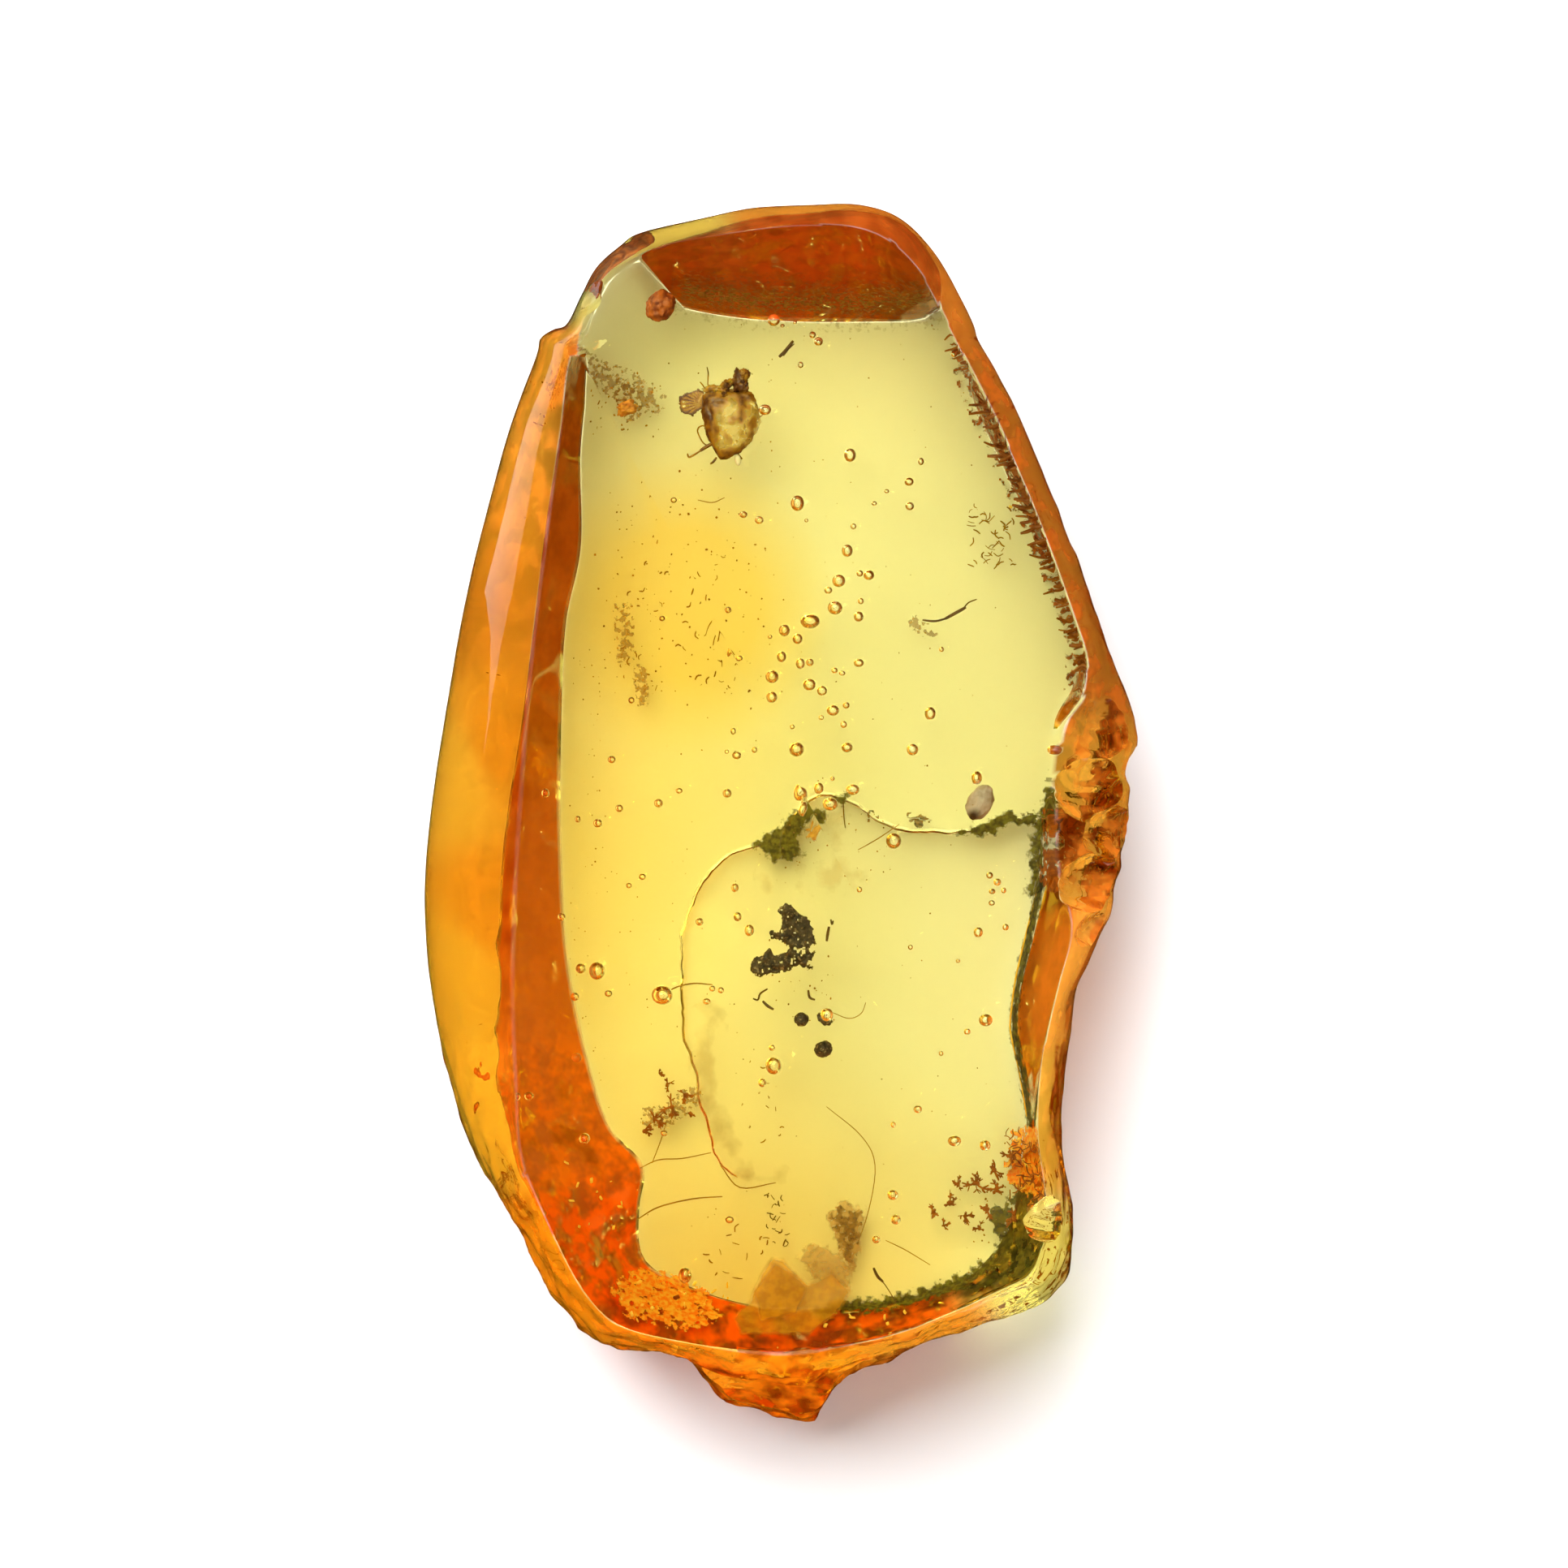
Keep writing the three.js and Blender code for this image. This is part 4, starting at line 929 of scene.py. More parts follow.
def maths(tree, operation, a, b=0.0, clamp=False):
    """The output of a maths node on two sockets or numbers."""
    made = tree.nodes.new("ShaderNodeMath")
    made.operation = operation
    made.use_clamp = clamp
    for socket, value in zip(made.inputs, (a, b)):
        if isinstance(value, (int, float)):
            socket.default_value = value
        else:
            tree.links.new(value, socket)
    return made.outputs["Value"]


def rescale(tree, value, low, high, to_low=0.0, to_high=1.0):
    made = node(tree, "MapRange", From_Min=low, From_Max=high, To_Min=to_low, To_Max=to_high)
    tree.links.new(value, made.inputs["Value"])
    return made.outputs["Result"]


def mix_colour(tree, share, a, b, blend="MIX"):
    made = tree.nodes.new("ShaderNodeMix")
    made.data_type = "RGBA"
    made.blend_type = blend
    for socket, value in zip((made.inputs["Factor"], made.inputs["A"], made.inputs["B"]), (share, a, b)):
        if isinstance(value, (tuple, float, int)):
            socket.default_value = value
        else:
            tree.links.new(value, socket)
    return made.outputs["Result"]


def noise(tree, scale, detail=3.0):
    """Noise over the piece's own place, with the scale in bumps to the millimetre."""
    where = tree.nodes.new("ShaderNodeTexCoord").outputs["Object"]
    made = node(tree, "TexNoise", Scale=scale / MM, Detail=detail)
    tree.links.new(where, made.inputs["Vector"])
    return made.outputs["Fac"]


def cloudy(tree, scale, detail, dark, light, spread=0.12):
    """A colour that wanders between two, which share the piece about evenly."""
    share = rescale(tree, noise(tree, scale, detail), 0.5 - spread, 0.5 + spread)
    return mix_colour(tree, share, (*dark, 1), (*light, 1))


def attribute(tree, name, output="Fac"):
    return node(tree, "Attribute", attribute_name=name).outputs[output]


def round_patch(tree, centre, radius, softness):
    """1 inside a round patch seen from above, fading to 0 at its edge."""
    where = tree.nodes.new("ShaderNodeTexCoord").outputs["Object"]
    flat = node(tree, "VectorMath", operation="MULTIPLY")
    flat.inputs[1].default_value = (1, 1, 0)
    tree.links.new(where, flat.inputs[0])
    apart = node(tree, "VectorMath", operation="DISTANCE")
    apart.inputs[1].default_value = (centre[0] * MM, centre[1] * MM, 0)
    tree.links.new(flat.outputs["Vector"], apart.inputs[0])
    return rescale(tree, apart.outputs["Value"], (radius + softness) * MM, (radius - softness) * MM)


def plain_matter(name, dark, light, scale, roughness):
    """An uneven solid material between two colours."""
    material, shader = principled(name, Roughness=roughness)
    tree = material.node_tree
    tree.links.new(cloudy(tree, scale, 3.0, dark, light), shader.inputs["Base Color"])
    bump(tree, shader, noise(tree, scale * 2.5, 2.0), 0.4)
    return material


def bump(tree, shader, height, strength, distance=0.03):
    made = node(tree, "Bump", Strength=strength, Distance=distance * MM)
    tree.links.new(height, made.inputs["Height"])
    tree.links.new(made.outputs["Normal"], shader.inputs["Normal"])


def insect_material():
    material, shader = principled("bug", Roughness=0.35)
    tree = material.node_tree
    fine = rescale(tree, noise(tree, 2.6, 6.0), 0.35, 0.65, -0.3, 0.3)
    shade = maths(tree, "ADD", attribute(tree, "shade"), fine, clamp=True)
    light = mix_colour(tree, rescale(tree, shade, 0.05, 0.45), (0.85, 0.58, 0.06, 1), (0.42, 0.19, 0.010, 1))
    colour = mix_colour(tree, rescale(tree, shade, 0.45, 1.0), light, (0.085, 0.024, 0.002, 1))
    tree.links.new(colour, shader.inputs["Base Color"])
    tree.links.new(rescale(tree, shade, 0.05, 0.55, 0.32, 0.95), shader.inputs["Alpha"])
    bump(tree, shader, noise(tree, 6.0, 4.0), 0.5)
    return material


def char_material():
    material, shader = principled("char", Roughness=0.55)
    tree = material.node_tree
    pale = rescale(tree, noise(tree, 7.0, 3.0), 0.56, 0.66)
    dark = cloudy(tree, 2.5, 4.0, (0.016, 0.012, 0.006), (0.085, 0.062, 0.030), 0.15)
    colour = mix_colour(tree, maths(tree, "MULTIPLY", pale, 0.6), dark, (0.42, 0.32, 0.16, 1))
    tree.links.new(colour, shader.inputs["Base Color"])
    bump(tree, shader, noise(tree, 9.0, 4.0), 0.9, 0.05)
    return material


def pellet_material():
    """Pale grey, dark at the lower left end."""
    material, shader = principled("pellet", Roughness=0.4)
    tree = material.node_tree
    end = round_patch(tree, (7.72, 0.05), 0.26, 0.16)
    pale = cloudy(tree, 1.6, 4.0, (0.62, 0.54, 0.46), (0.34, 0.27, 0.20), 0.15)
    tree.links.new(mix_colour(tree, end, pale, (0.03, 0.015, 0.006, 1)), shader.inputs["Base Color"])
    bump(tree, shader, noise(tree, 3.0, 4.0), 0.4)
    return material

# Fibres, hairs and cracks: radius, material and points in X, Y and height
THREADS = [
    (0.030, "thread", [(-6.17, -16.57, 3), (-5.3, -16.07, 3.1), (-3.93, -15.73, 3.2), (-2.67, -15.63, 3.2)]),
    (0.024, "thread", [(-6.07, -14.47, 3), (-5.3, -14.13, 3), (-4.32, -14.07, 3), (-3.14, -13.83, 3)]),
    (0.022, "thread", [(-5.0, -12.6, 2), (-5.25, -13.4, 2), (-5.6, -14.3, 2)]),
    (0.020, "thread", [(4.07, -17.4, 4), (4.9, -17.8, 4.1), (5.9, -18.4, 4.2)]),
    (0.060, "soot", [(3.55, -18.57, 3), (3.72, -18.92, 3), (3.95, -19.15, 3)]),
    (0.022, "soot", [(3.9, -19.1, 3), (4.15, -19.45, 3), (4.48, -20.0, 3)]),
    (0.045, "soot", [(5.67, 8.1, 7), (6.2, 8.05, 7), (6.75, 8.2, 7)]),
    (0.070, "soot", [(6.6, 8.15, 7), (7.15, 8.45, 7), (7.45, 8.62, 7)]),
    (0.030, "soot", [(7.3, 8.5, 7), (7.55, 8.8, 7), (7.9, 8.95, 7)]),
    (0.070, "soot", [(-0.2, 18.86, 7), (0.05, 19.1, 7), (0.38, 19.52, 7)]),
    (0.030, "soot", [(-0.02, 18.9, 7), (0.2, 19.2, 7), (0.42, 19.4, 7)]),
    (0.018, "thread", [(1.9, -8.0, 5.5), (2.6, -8.25, 5.5), (3.1, -8.05, 5.5), (3.3, -7.6, 5.5)]),
    (0.030, "thread", [(-5.4, -7.6, 2), (-4.7, -7.1, 2), (-3.9, -6.9, 2), (-3.1, -6.95, 2)]),
    (0.026, "thread", [(-2.77, -14.4, 2), (-1.97, -15.3, 2), (-0.5, -15.1, 2)]),
    (0.018, "thread", [(1.57, -12.0, 1), (3.0, -13.2, 1), (3.57, -14.4, 1), (3.3, -16.3, 1),
                       (2.6, -18.3, 1)]),
    (0.040, "soot", [(-0.75, -7.05, 5), (-1.05, -7.25, 5), (-1.15, -7.5, 5), (-1.35, -7.45, 5)]),
    (0.060, "soot", [(-0.95, -7.55, 5), (-0.75, -7.75, 5), (-0.5, -7.9, 5)]),
    (0.050, "soot", [(0.92, -7.1, 5), (0.98, -7.4, 5), (1.2, -7.5, 5)]),
    (0.060, "soot", [(1.78, -4.5, 5), (1.72, -4.8, 5), (1.68, -5.1, 5)]),
    (0.040, "soot", [(1.85, -4.2, 5), (1.9, -4.4, 5), (1.95, -4.25, 5)]),
    (0.026, "soot", [(2.3, 0.6, 1.8), (2.32, 0.0, 1.8), (2.38, -0.5, 1.8)]),
    # Painted glint: a bright gold line along the crack at the right bevel's edge, where light catches the
    # edge between facets
    (0.04, "painted_glint_line", [(10.3, -3.0, 1.5), (10.0, -4.2, 1.5), (9.75, -5.2, 1.5), (9.4, -6.7, 1.5),
                    (9.2, -8.2, 1.5), (9.2, -9.0, 1.5), (9.55, -10.6, 1.5), (9.85, -12.4, 1.5)]),
    (0.022, "thread", [(2.9, -1.4, 1.6), (3.7, -0.95, 1.6), (4.6, -0.35, 1.6)]),
    (0.020, "thread", [(-3.6, 13.0, 5), (-3.0, 12.9, 5), (-2.5, 13.1, 5)]),
]

# Where small hairs or flecks lie thick: centre, half-size, count, length and material
HAIR_FIELDS = [
    ((8.5, 11.6), (0.95, 1.3), 46, 0.42, "thread"),
    ((-0.45, -16.7), (0.45, 1.1), 22, 0.3, "soot"),
    ((9.9, -14.4), (0.9, 1.6), 60, 0.5, "rust"),
    ((-4.6, 8.0), (2.4, 2.8), 40, 0.3, "thread"),
    ((-2.0, -18.0), (1.5, 1.2), 16, 0.35, "thread"),
    ((-1.2, -11.5), (1.0, 2.0), 12, 0.25, "thread"),
]

# Branching growths: centre, reach, count of arms
SPRIGS = [
    ((6.0, -16.3), 0.42, 7), ((6.7, -15.95), 0.5, 9), ((7.3, -16.5), 0.42, 8), ((7.75, -15.15), 0.6, 10),
    ((8.2, -16.2), 0.55, 9), ((7.0, -15.2), 0.36, 6), ((8.6, -15.4), 0.6, 9), ((8.5, -14.6), 0.5, 8),
    ((9.2, -14.0), 0.5, 8), ((6.4, -16.9), 0.3, 5), ((7.9, -17.0), 0.35, 6), ((9.3, -16.6), 0.5, 8),
    ((-5.5, -12.5), 0.5, 8), ((-4.8, -12.0), 0.55, 8), ((-4.2, -11.5), 0.4, 7), ((-5.0, -11.1), 0.35, 6),
    ((-4.0, -12.3), 0.3, 5), ((-5.9, -13.0), 0.4, 6), ((-5.3, -10.6), 0.25, 5),
]

# Painted glints: bright gold flecks in place of light glinting off the cracked rind: centre, half-size, count
PAINTED_GLINT_FIELDS = [
    ((-7.9, -15.2), (1.2, 1.8), 12), ((-4.6, -19.9), (2.4, 0.8), 16), ((-10.9, 12.3), (0.5, 0.8), 14),
    ((9.9, -14.6), (0.8, 1.5), 10), ((13.0, 0.5), (0.9, 3.6), 24), ((4.5, -20.9), (3.0, 0.5), 10),
    ((0.5, -22.6), (1.6, 0.8), 12), ((10.0, 14.5), (0.9, 3.0), 8),
]

# Where specks lie: centre, half-size, count, largest radius
SPECK_FIELDS = [
    ((0.5, 2.0), (9.0, 19.0), 260, 0.045),
    ((-4.4, 8.6), (3.6, 4.2), 150, 0.06),
    ((-6.6, 16.9), (1.4, 1.4), 60, 0.07),
    ((-2.2, 16.0), (2.4, 2.2), 24, 0.06),
    ((0.6, -6.6), (1.4, 1.8), 34, 0.06),
    ((2.0, -1.0), (2.4, 1.6), 40, 0.05),
    ((-8.2, -2.0), (0.7, 9.0), 60, 0.04),
    ((9.0, -17.5), (1.6, 2.0), 60, 0.06),
]

# Inner edge of the weathered band on the right, where spikes point into the clear amber
SPIKE_LINE = [
    (7.0, 20.2), (7.7, 18.6), (8.5, 16.6), (9.1, 14.6), (10.0, 12.4), (10.9, 10.4), (11.7, 8.6),
    (12.2, 7.0), (12.0, 5.2),
]
SPIKE_COUNT = 130


def lowest(points):
    """Height of the lump's underside below points in the plane."""
    outside = np.clip(distance_to(points, BOTTOM_FACE), 0, None)
    inside = np.clip(-distance_to(points, OUTLINE), 0.01, None)
    bevel = girdle_height(points) * (outside / (outside + inside)) ** BOTTOM_BULGE
    return bevel + np.where(distance_to(points, BASIN_OUTLINE) < 0.3, basin_height(points), 0)


def lowest_at(x, y):
    """The same height below one point."""
    return float(lowest(np.array([[x, y]]))[0])


class Heap:
    """Gathers shapes into the arrays of one mesh."""

    def __init__(self):
        self.points, self.faces, self.values, self.count = [], [], [], 0

    def add(self, points, faces, value=1.0):
        self.points.append(points)
        self.faces.extend((np.asarray(faces) + self.count).tolist())
        self.values.append(np.full(len(points), value) if np.isscalar(value) else value)
        self.count += len(points)

    def make(self, name, material, slot, replaces=()):
        obj = new_object(name, np.vstack(self.points), self.faces)
        set_attribute(obj.data, "shade", np.concatenate(self.values))
        obj.data.shade_smooth()
        obj.data.materials.append(material)
        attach(obj, "root")
        if replaces:
            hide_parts(*replaces)


def make_plain(heap, name, slot, look):
    """Makes a piece of a heap with a plain uneven material."""
    heap.make(name, plain_matter(name, *look), slot)


def tube(points, radius, sides=6, taper=0.35):
    """A closed round tube along a smooth curve, thinner at its ends."""
    control = np.array(points, float)
    steps = 5 * (len(control) - 1) + 1
    at = np.linspace(0, len(control) - 1, steps)
    low = np.clip(at.astype(int), 0, len(control) - 2)
    t = (at - low)[:, None]
    padded = np.vstack([2 * control[0] - control[1], control, 2 * control[-1] - control[-2]])
    p0, p1, p2, p3 = (padded[low + k] for k in range(4))
    path = 0.5 * (2 * p1 + (p2 - p0) * t + (2 * p0 - 5 * p1 + 4 * p2 - p3) * t ** 2
                  + (3 * p1 - p0 - 3 * p2 + p3) * t ** 3)
    forward = np.gradient(path, axis=0)
    forward /= np.linalg.norm(forward, axis=1)[:, None] + 1e-12
    across = np.cross(forward, [0, 0, 1.0])
    across /= np.linalg.norm(across, axis=1)[:, None] + 1e-12
    upward = np.cross(across, forward)
    width = radius * (taper + (1 - taper) * np.sin(np.linspace(0.15, 1, steps) * np.pi * 0.9) ** 0.5)
    turn = np.arange(sides) / sides * 2 * np.pi
    rings = (path[:, None] + across[:, None] * (np.cos(turn)[None, :, None] * width[:, None, None])
             + upward[:, None] * (np.sin(turn)[None, :, None] * width[:, None, None]))
    faces = []
    for k in range(steps - 1):
        for i in range(sides):
            j = (i + 1) % sides
            a, b = k * sides + i, k * sides + j
            faces += [[a, b, b + sides], [a, b + sides, a + sides]]
    for i in range(1, sides - 1):
        faces += [[0, i, i + 1], [(steps - 1) * sides, (steps - 1) * sides + i + 1, (steps - 1) * sides + i]]
    return rings.reshape(-1, 3), faces


def lump(centre, radii, turn=0.0, roughness=0.1, detail=4, seed=0, bumps=2.0):
    """A closed rounded lump with an uneven surface."""
    sphere, faces = ball(detail)
    uneven = 1 + roughness * layered_noise(sphere * bumps, seed)
    points = sphere * uneven[:, None] * radii
    cosine, sine = math.cos(math.radians(turn)), math.sin(math.radians(turn))
    points[:, :2] = points[:, :2] @ np.array([[cosine, sine], [-sine, cosine]])
    return points + centre, faces


def drop_unused(points, faces):
    """Only the points that faces use, the renumbered faces and which points those are."""
    used = np.unique(faces)
    renumber = np.full(len(points), -1)
    renumber[used] = np.arange(len(used))
    return points[used], renumber[faces], used


def slab(inside, low, high, step, thickness, roughness, seed):
    """A closed flake: inside(points) gives how far points in the plane lie inside its outline."""
    xs = np.arange(low[0], high[0] + step, step)
    ys = np.arange(low[1], high[1] + step, step)
    grid = np.stack(np.meshgrid(xs, ys, indexing="ij"), axis=-1)
    depth = inside(grid.reshape(-1, 2)).reshape(grid.shape[:2])
    cell = (depth[:-1, :-1] > 0) & (depth[1:, :-1] > 0) & (depth[1:, 1:] > 0) & (depth[:-1, 1:] > 0)
    flat = np.column_stack([grid.reshape(-1, 2), np.zeros(grid.shape[0] * grid.shape[1])])
    swell = np.sqrt(np.clip(depth.ravel() / (thickness * 0.6), 0, 1))
    bump = 1 + roughness * layered_noise(flat / (thickness * 0.5), seed)
    upper = flat + np.stack([0 * swell, 0 * swell, thickness / 2 * (0.15 + 0.85 * swell) * bump], axis=1)
    lower = upper * [1, 1, -1]
    index = np.arange(flat.shape[0]).reshape(grid.shape[:2])
    faces = []
    total = flat.shape[0]
    for i, j in np.argwhere(cell):
        a, b, c, d = index[i, j], index[i + 1, j], index[i + 1, j + 1], index[i, j + 1]
        faces += [[a, b, c, d], [d + total, c + total, b + total, a + total]]
        for (di, dj), (p, q) in (((-1, 0), (d, a)), ((1, 0), (b, c)), ((0, -1), (a, b)), ((0, 1), (c, d))):
            ni, nj = i + di, j + dj
            open_side = not (0 <= ni < cell.shape[0] and 0 <= nj < cell.shape[1] and cell[ni, nj])
            if open_side:
                faces.append([q, p, p + total, q + total])
    points, faces, _ = drop_unused(np.vstack([upper, lower]), np.array(faces))
    return points, np.vstack([faces[:, [0, 1, 2]], faces[:, [0, 2, 3]]])


def make_insect():
    """The bug: a shield-shaped body, head, fan and limbs in one piece, and a pale drop at its end."""
    place = np.array(INSECT_PLACE)
    sphere, faces = ball(5)
    outline = closed_curve(INSECT_OUTLINE, INSECT_RIM_SAMPLES) - INSECT_MIDDLE
    around = np.arctan2(outline[:, 1], outline[:, 0])
    order = np.argsort(around)
    angle = np.arctan2(sphere[:, 1], sphere[:, 0])
    reach = np.interp(angle, around[order], np.linalg.norm(outline, axis=1)[order], period=2 * np.pi)
    level = np.hypot(sphere[:, 0], sphere[:, 1])
    ragged = 1 + (0.05 * layered_noise(sphere * 3.0, 5) + 0.03 * smooth_noise(sphere * 16.0, 6)) * level
    body = np.column_stack([
        np.cos(angle) * reach * level * ragged, np.sin(angle) * reach * level * ragged,
        sphere[:, 2] * INSECT_HALF_HEIGHT,
    ])
    body[:, 2] += 0.05 * layered_noise(sphere * 4.0, 9)
    x, y = body[:, 0], body[:, 1]
    # Creases along the left wing case and across the neck
    body[:, 2] -= 0.05 * np.exp(-((x + 0.42 - 0.15 * y) / 0.06) ** 2)
    body[:, 2] -= 0.06 * np.exp(-((y - 0.72) / 0.07) ** 2)
    # Darker along the left side, at the pointed end, at the neck and in a stripe on the right
    left = np.clip((-x - 0.35 + 0.12 * y) / 0.45, 0, 1)
    bottom = np.clip((-y - 0.95) / 0.45, 0, 1)
    top = np.clip((y - 0.72) / 0.3, 0, 1) * np.clip((x + 0.5) / 0.5, 0, 1)
    stripe = np.exp(-((x - 0.42) / 0.12) ** 2) * (y > -0.6)
    shade = np.clip(0.22 + 0.65 * left + 0.7 * bottom + 0.4 * top + 0.35 * stripe
                    + 0.25 * layered_noise(body * 2.4, 13), 0, 1)
    heap = Heap()
    heap.add(body + [*INSECT_MIDDLE, 0] + place, faces, shade)
    for i, (centre, radii, dark) in enumerate(HEAD_LUMPS):
        points, lump_faces = lump(np.array(centre), radii, 0, 0.32, 4, 90 + i, 4.0)
        mottled = np.clip(dark + 0.5 * layered_noise(points * 5.0, 7 + i), 0, 1)
        heap.add(points + place, lump_faces, mottled)
    fan = np.array(FAN_OUTLINE)

    def inside_fan(flat):
        return -distance_to(flat, fan) + 0.05 * layered_noise(np.column_stack([flat * 9, 0 * flat[:, 0]]), 3)

    points, fan_faces = slab(inside_fan, fan.min(axis=0) - 0.1, fan.max(axis=0) + 0.1, 0.025, 0.07, 0.2, 17)
    from_root = np.degrees(np.arctan2(points[:, 1] - FAN_ROOT[1], points[:, 0] - FAN_ROOT[0])) % 360
    stripe = 0.5 + 0.5 * np.cos((from_root - FAN_ANGLE) / FAN_PITCH * 2 * np.pi)
    rim = np.clip(1.6 + distance_to(points[:, :2], fan) / 0.1, 0, 1)
    heap.add(points + place, fan_faces, 0.25 + 0.75 * np.maximum(1 - stripe ** 0.5, rim))
    for limb, radius in LIMBS:
        points, limb_faces = tube(limb, radius, 8)
        heap.add(points + place, limb_faces, LIMB_DARKNESS)
    heap.make("bug", insect_material(), "chitin", ("insect",))
    drop = Heap()
    centre, radii = INSECT_DROP
    drop.add(*lump(np.array(centre) + place, radii, 8, 0.08, 3, 3))
    drop.make("bug_drop", plain_matter("drop", (0.98, 0.95, 0.72), (0.9, 0.85, 0.5), 3.0, 0.3), "pale_matter")


def make_char():
    outline = closed_curve(CHAR_OUTLINE, CHAR_RIM_SAMPLES)

    def inside(points):
        solid = np.column_stack([points, np.zeros(len(points))])
        edge = -distance_to(points, outline) + 0.05 * layered_noise(solid * 7, 31)
        pores = smooth_noise(solid * 7.5, 33) + 0.5 * smooth_noise(solid * 15, 35)
        loose = np.clip((points[:, 0] + 0.2) / 1.2, 0, 1) * np.clip((0.4 - points[:, 1]) / 1.6 + 0.4, 0, 1)
        return np.where(pores > 1.02 - 0.5 * loose, -1, edge)

    points, faces = slab(
        inside, outline.min(axis=0) - 0.1, outline.max(axis=0) + 0.1, 0.026, CHAR_THICKNESS, 0.45, 37,
    )
    heap = Heap()
    heap.add(points + CHAR_PLACE, faces)
    heap.make("char_flake", char_material(), "charcoal", ("charred_fragment",))


def make_grains():
    looks = {
        "char": (char_material(), "charcoal"),
        "pale": (pellet_material(), "pale_matter"),
    }
    for look, dark, light, scale, roughness in GRAIN_COLOURS:
        looks[look] = (plain_matter(f"grain_{look}", dark, light, scale, roughness), f"{look}_matter")
    for i, (name, centre, radii, turn, roughness, look) in enumerate(GRAINS):
        heap = Heap()
        heap.add(*lump(np.array(centre), radii, turn, roughness, 5, 50 + i, 2.4))
        material, slot = looks[look]
        heap.make(f"seen_{name}", material, slot, (name,))


def make_films():
    """Thin sheets along the underside, one piece for each material."""
    heaps = {}
    for i, (look, height, half_width, line) in enumerate(FILMS):
        line = np.array(line)
        margin = (half_width or 0) + 0.15
        low, high = line.min(axis=0) - margin, line.max(axis=0) + margin
        xs, ys = np.arange(low[0], high[0], FILM_STEP), np.arange(low[1], high[1], FILM_STEP)
        grid = np.stack(np.meshgrid(xs, ys, indexing="ij"), axis=-1).reshape(-1, 2)
        if half_width:
            fade = 1 - distance_to_line(grid, line) / half_width
        else:
            soft = look in SMOOTH_FILMS
            edge = closed_curve(line, 6 * len(line)) if soft else line
            fade = -distance_to(grid, edge) / (EDGE_FADE_SOFT if soft else EDGE_FADE)
        fade = np.minimum(fade, (-distance_to(grid, OUTLINE) - height) / EDGE_FADE)
        solid = np.column_stack([grid, np.full(len(grid), 3.0 * i)])
        z = lowest(grid) + height + 0.1 * smooth_noise(solid / 1.3, 71)
        index = np.arange(len(grid)).reshape(len(xs), len(ys))
        shown = fade.reshape(index.shape) > -0.25
        cell = shown[:-1, :-1] & shown[1:, :-1] & shown[1:, 1:] & shown[:-1, 1:]
        a, b, c, d = index[:-1, :-1][cell], index[1:, :-1][cell], index[1:, 1:][cell], index[:-1, 1:][cell]
        faces = np.column_stack([a, b, c, d])
        points, faces, used = drop_unused(np.column_stack([grid, z]), faces)
        heaps.setdefault(look, Heap()).add(points, faces, np.clip(fade[used], 0, 1))
    for look, heap in heaps.items():
        heap.make(f"film_{look}", film_material(look), FILM_SLOTS.get(look, "brown_matter"))


def film_material(look):
    """A thin layer, opaque in its middle and broken up into grains towards its edge."""
    dark, light, opacity, scale, broken = FILM_LOOKS[look]
    material, shader = principled(f"film_{look}", Roughness=0.6, Specular_IOR_Level=0.2)
    tree = material.node_tree
    tree.links.new(cloudy(tree, scale * 1.7, 2.0, dark, light), shader.inputs["Base Color"])
    grains = rescale(tree, noise(tree, scale, 3.0), 0.36, 0.64, -broken, broken * 0.6)
    present = maths(tree, "ADD", attribute(tree, "shade"), grains)
    full_at = 1.0 if look in SMOOTH_FILMS else 0.35 + 0.3 * (1 - min(broken, 1))
    alpha = rescale(tree, present, 0.05, full_at, 0.0, opacity)
    tree.links.new(alpha, shader.inputs["Alpha"])
    return material


AMBER_IOR = 1.54
AMBER_COLOUR = (0.997, 0.960, 0.06, 1)
AMBER_DENSITY = 58


def amber_material():
    """Clear resin, with an opaque and mottled share by the painted rind, and cloudy at the left and below."""
    material, shader = principled("amber", Roughness=0.0, IOR=AMBER_IOR, Transmission_Weight=1.0)
    tree = material.node_tree
    links = tree.links
    grain = rescale(tree, noise(tree, 1.1, 2.0), 0.38, 0.62, -1.0, 1.0)
    mottle = maths(tree, "MULTIPLY", grain, attribute(tree, "mottled"))
    opaque = attribute(tree, "opaque")
    swing = maths(tree, "MULTIPLY", mottle, 0.45)
    present = rescale(tree, opaque, 0.0, 0.1)
    swing = maths(tree, "MULTIPLY", swing, present)
    share = maths(tree, "ADD", opaque, swing, clamp=True)
    clear = maths(tree, "SUBTRACT", 1.0, share, clamp=True)
    links.new(clear, shader.inputs["Transmission Weight"])

    dark = rescale(tree, mottle, -1.0, 1.0, 0.5, 1.5)
    shaded = node(tree, "VectorMath", operation="SCALE")
    links.new(attribute(tree, "tint", "Color"), shaded.inputs[0])
    links.new(dark, shaded.inputs["Scale"])
    haze = round_patch(tree, (-4.2, 8.7), 4.6, 1.6)
    west = round_patch(tree, (-9.0, -2.0), 8.0, 7.0)
    south = round_patch(tree, (-2.0, -20.0), 6.5, 6.0)
    # A haze round the bubbles and a browner tone to the west and south tint the window
    hazy = mix_colour(tree, haze, (1, 1, 1, 1), (0.98, 0.86, 0.55, 1))
    hazy = mix_colour(tree, maths(tree, "MULTIPLY", west, 0.5), hazy, (0.97, 0.86, 0.5, 1))
    hazy = mix_colour(tree, maths(tree, "MULTIPLY", south, 0.8), hazy, (0.93, 0.74, 0.42, 1))
    colour = mix_colour(tree, 1.0, shaded.outputs["Vector"], hazy, "MULTIPLY")
    links.new(colour, shader.inputs["Base Color"])
    absorption = node(tree, "VolumeAbsorption", Color=AMBER_COLOUR, Density=AMBER_DENSITY)
    links.new(absorption.outputs["Volume"], tree.nodes["Material Output"].inputs["Volume"])
    return material


# Stage, lights and camera, in metres

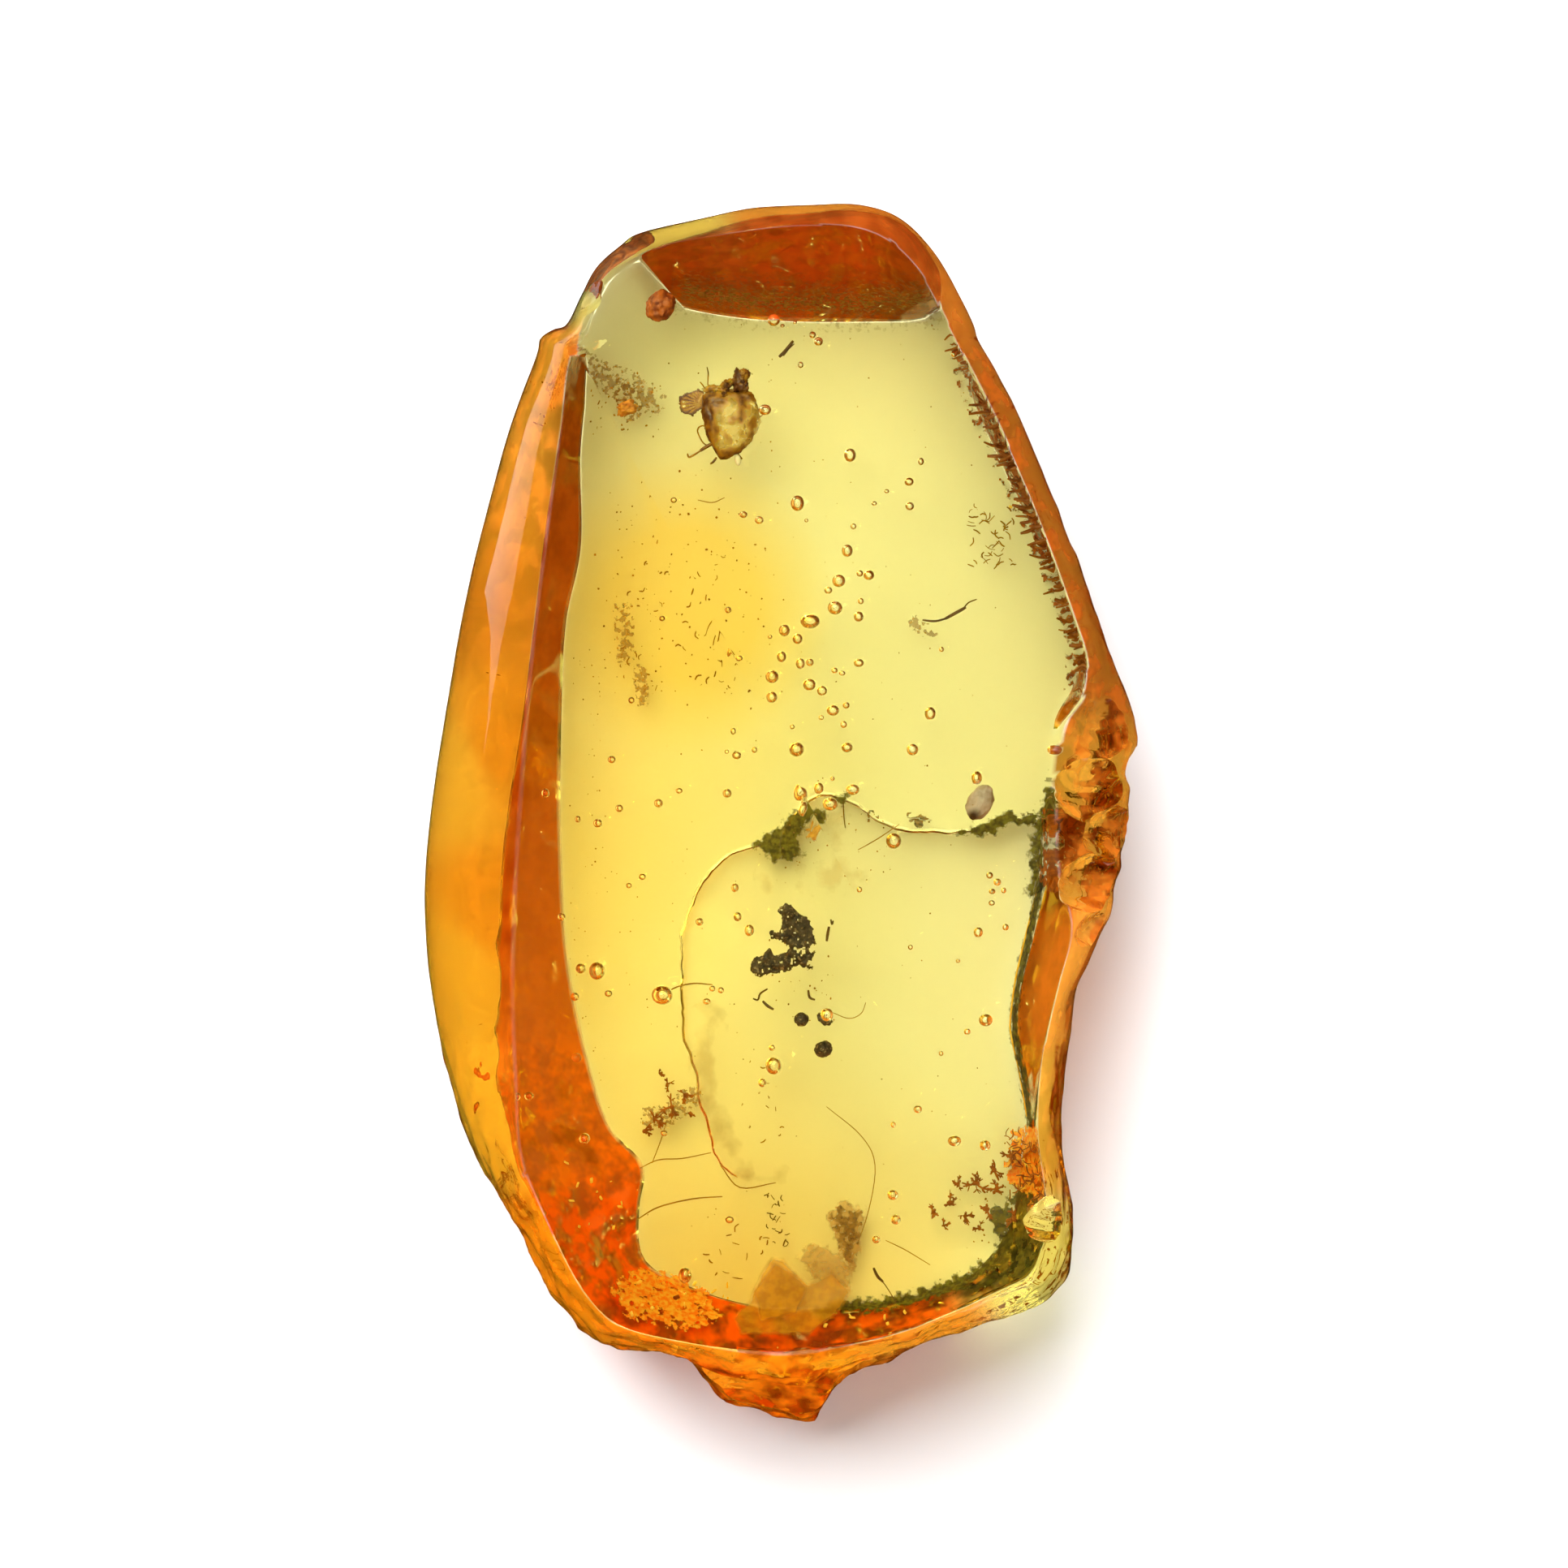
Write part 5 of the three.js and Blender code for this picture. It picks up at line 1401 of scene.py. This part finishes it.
LIGHT_REACH = 0.75
KEY_SIZE = (0.65, 0.65)
KEY_GLOW = 11.0
# Glowing sheets under the lump, seen only as reflections in it: place and size
SHEETS = {
    "left_sheet": ((-0.045, 0.026, 0.0005), (0.05, 0.03)),
    "right_sheet": ((0.030, -0.040, 0.0005), (0.03, 0.02)),
}
SHEET_GLOW = 1.2
# The sky is bright up to a height and dark overhead: height and grey
SKY = [(0.72, 0.75), (0.93, 0.03)]
FLOOR_REACH = 900
FLOOR_DROP = 0.05 * MM
CAMERA_PLACE = (0.1 * MM, 1.43 * MM, 0.5065)
CAMERA_LENS = 279.5
BOUNCES = 8
TRANSPARENT_BOUNCES = 10
KEY_AZIMUTH = 117
KEY_TILT = 35
FLOOR_GREY = 0.86


def softbox(name, azimuth, tilt, size, glow, seen_in_gloss=True, lights_things=True):
    """A flat light facing the lump, at an angle from +X and a tilt from the vertical."""
    light = bpy.data.lights.new(name, "AREA")
    light.shape = "RECTANGLE"
    light.size, light.size_y = size
    light.energy = glow * size[0] * size[1] * math.pi
    obj = bpy.data.objects.new(name, light)
    bpy.context.scene.collection.objects.link(obj)
    turn, lean = math.radians(azimuth), math.radians(tilt)
    across = LIGHT_REACH * math.sin(lean)
    obj.location = (across * math.cos(turn), across * math.sin(turn), LIGHT_REACH * math.cos(lean))
    obj.rotation_euler = (-obj.location).to_track_quat("-Z", "Y").to_euler()
    obj.visible_glossy = seen_in_gloss
    obj.visible_diffuse = lights_things
    obj.visible_transmission = lights_things
    return obj


def setup_world():
    scene = bpy.context.scene
    world = bpy.data.worlds.new("studio")
    scene.world = world
    world.use_nodes = True
    nodes, links = world.node_tree.nodes, world.node_tree.links
    background = nodes["Background"]
    where = nodes.new("ShaderNodeTexCoord")
    split = nodes.new("ShaderNodeSeparateXYZ")
    links.new(where.outputs["Generated"], split.inputs["Vector"])
    ramp = nodes.new("ShaderNodeValToRGB")
    for element, (height, grey) in zip(ramp.color_ramp.elements, SKY):
        element.position = height
        element.color = (grey, grey, grey, 1)
    links.new(split.outputs["Z"], ramp.inputs["Fac"])
    links.new(ramp.outputs["Color"], background.inputs["Color"])
    world.cycles_visibility.glossy = False

    corners = [(x * FLOOR_REACH, y * FLOOR_REACH, 0) for x, y in ((-1, -1), (1, -1), (1, 1), (-1, 1))]
    floor = new_object("floor", corners, [(0, 1, 2, 3)])
    floor.location.z = -FLOOR_DROP
    white = (FLOOR_GREY, FLOOR_GREY, FLOOR_GREY, 1)
    matt, _ = principled("floor", Base_Color=white, Roughness=1.0, Specular_IOR_Level=0.0)
    floor.data.materials.append(matt)
    floor.visible_glossy = False

    softbox("key", KEY_AZIMUTH, KEY_TILT, KEY_SIZE, KEY_GLOW, seen_in_gloss=False)
    for name, (place, size) in SHEETS.items():
        sheet = softbox(name, 180, 0, size, SHEET_GLOW, lights_things=False)
        sheet.location = place
        sheet.rotation_euler = (math.pi, 0, 0)
        sheet.visible_camera = False
    camera_data = bpy.data.cameras.new("camera")
    camera_data.sensor_width = 36
    camera_data.lens = CAMERA_LENS
    camera_data.clip_start = 0.01
    camera = bpy.data.objects.new("camera", camera_data)
    scene.collection.objects.link(camera)
    camera.location = CAMERA_PLACE
    scene.camera = camera
    scene.view_settings.view_transform = "Standard"
    scene.cycles.max_bounces = BOUNCES
    scene.cycles.transmission_bounces = BOUNCES
    scene.cycles.transparent_max_bounces = TRANSPARENT_BOUNCES


main()
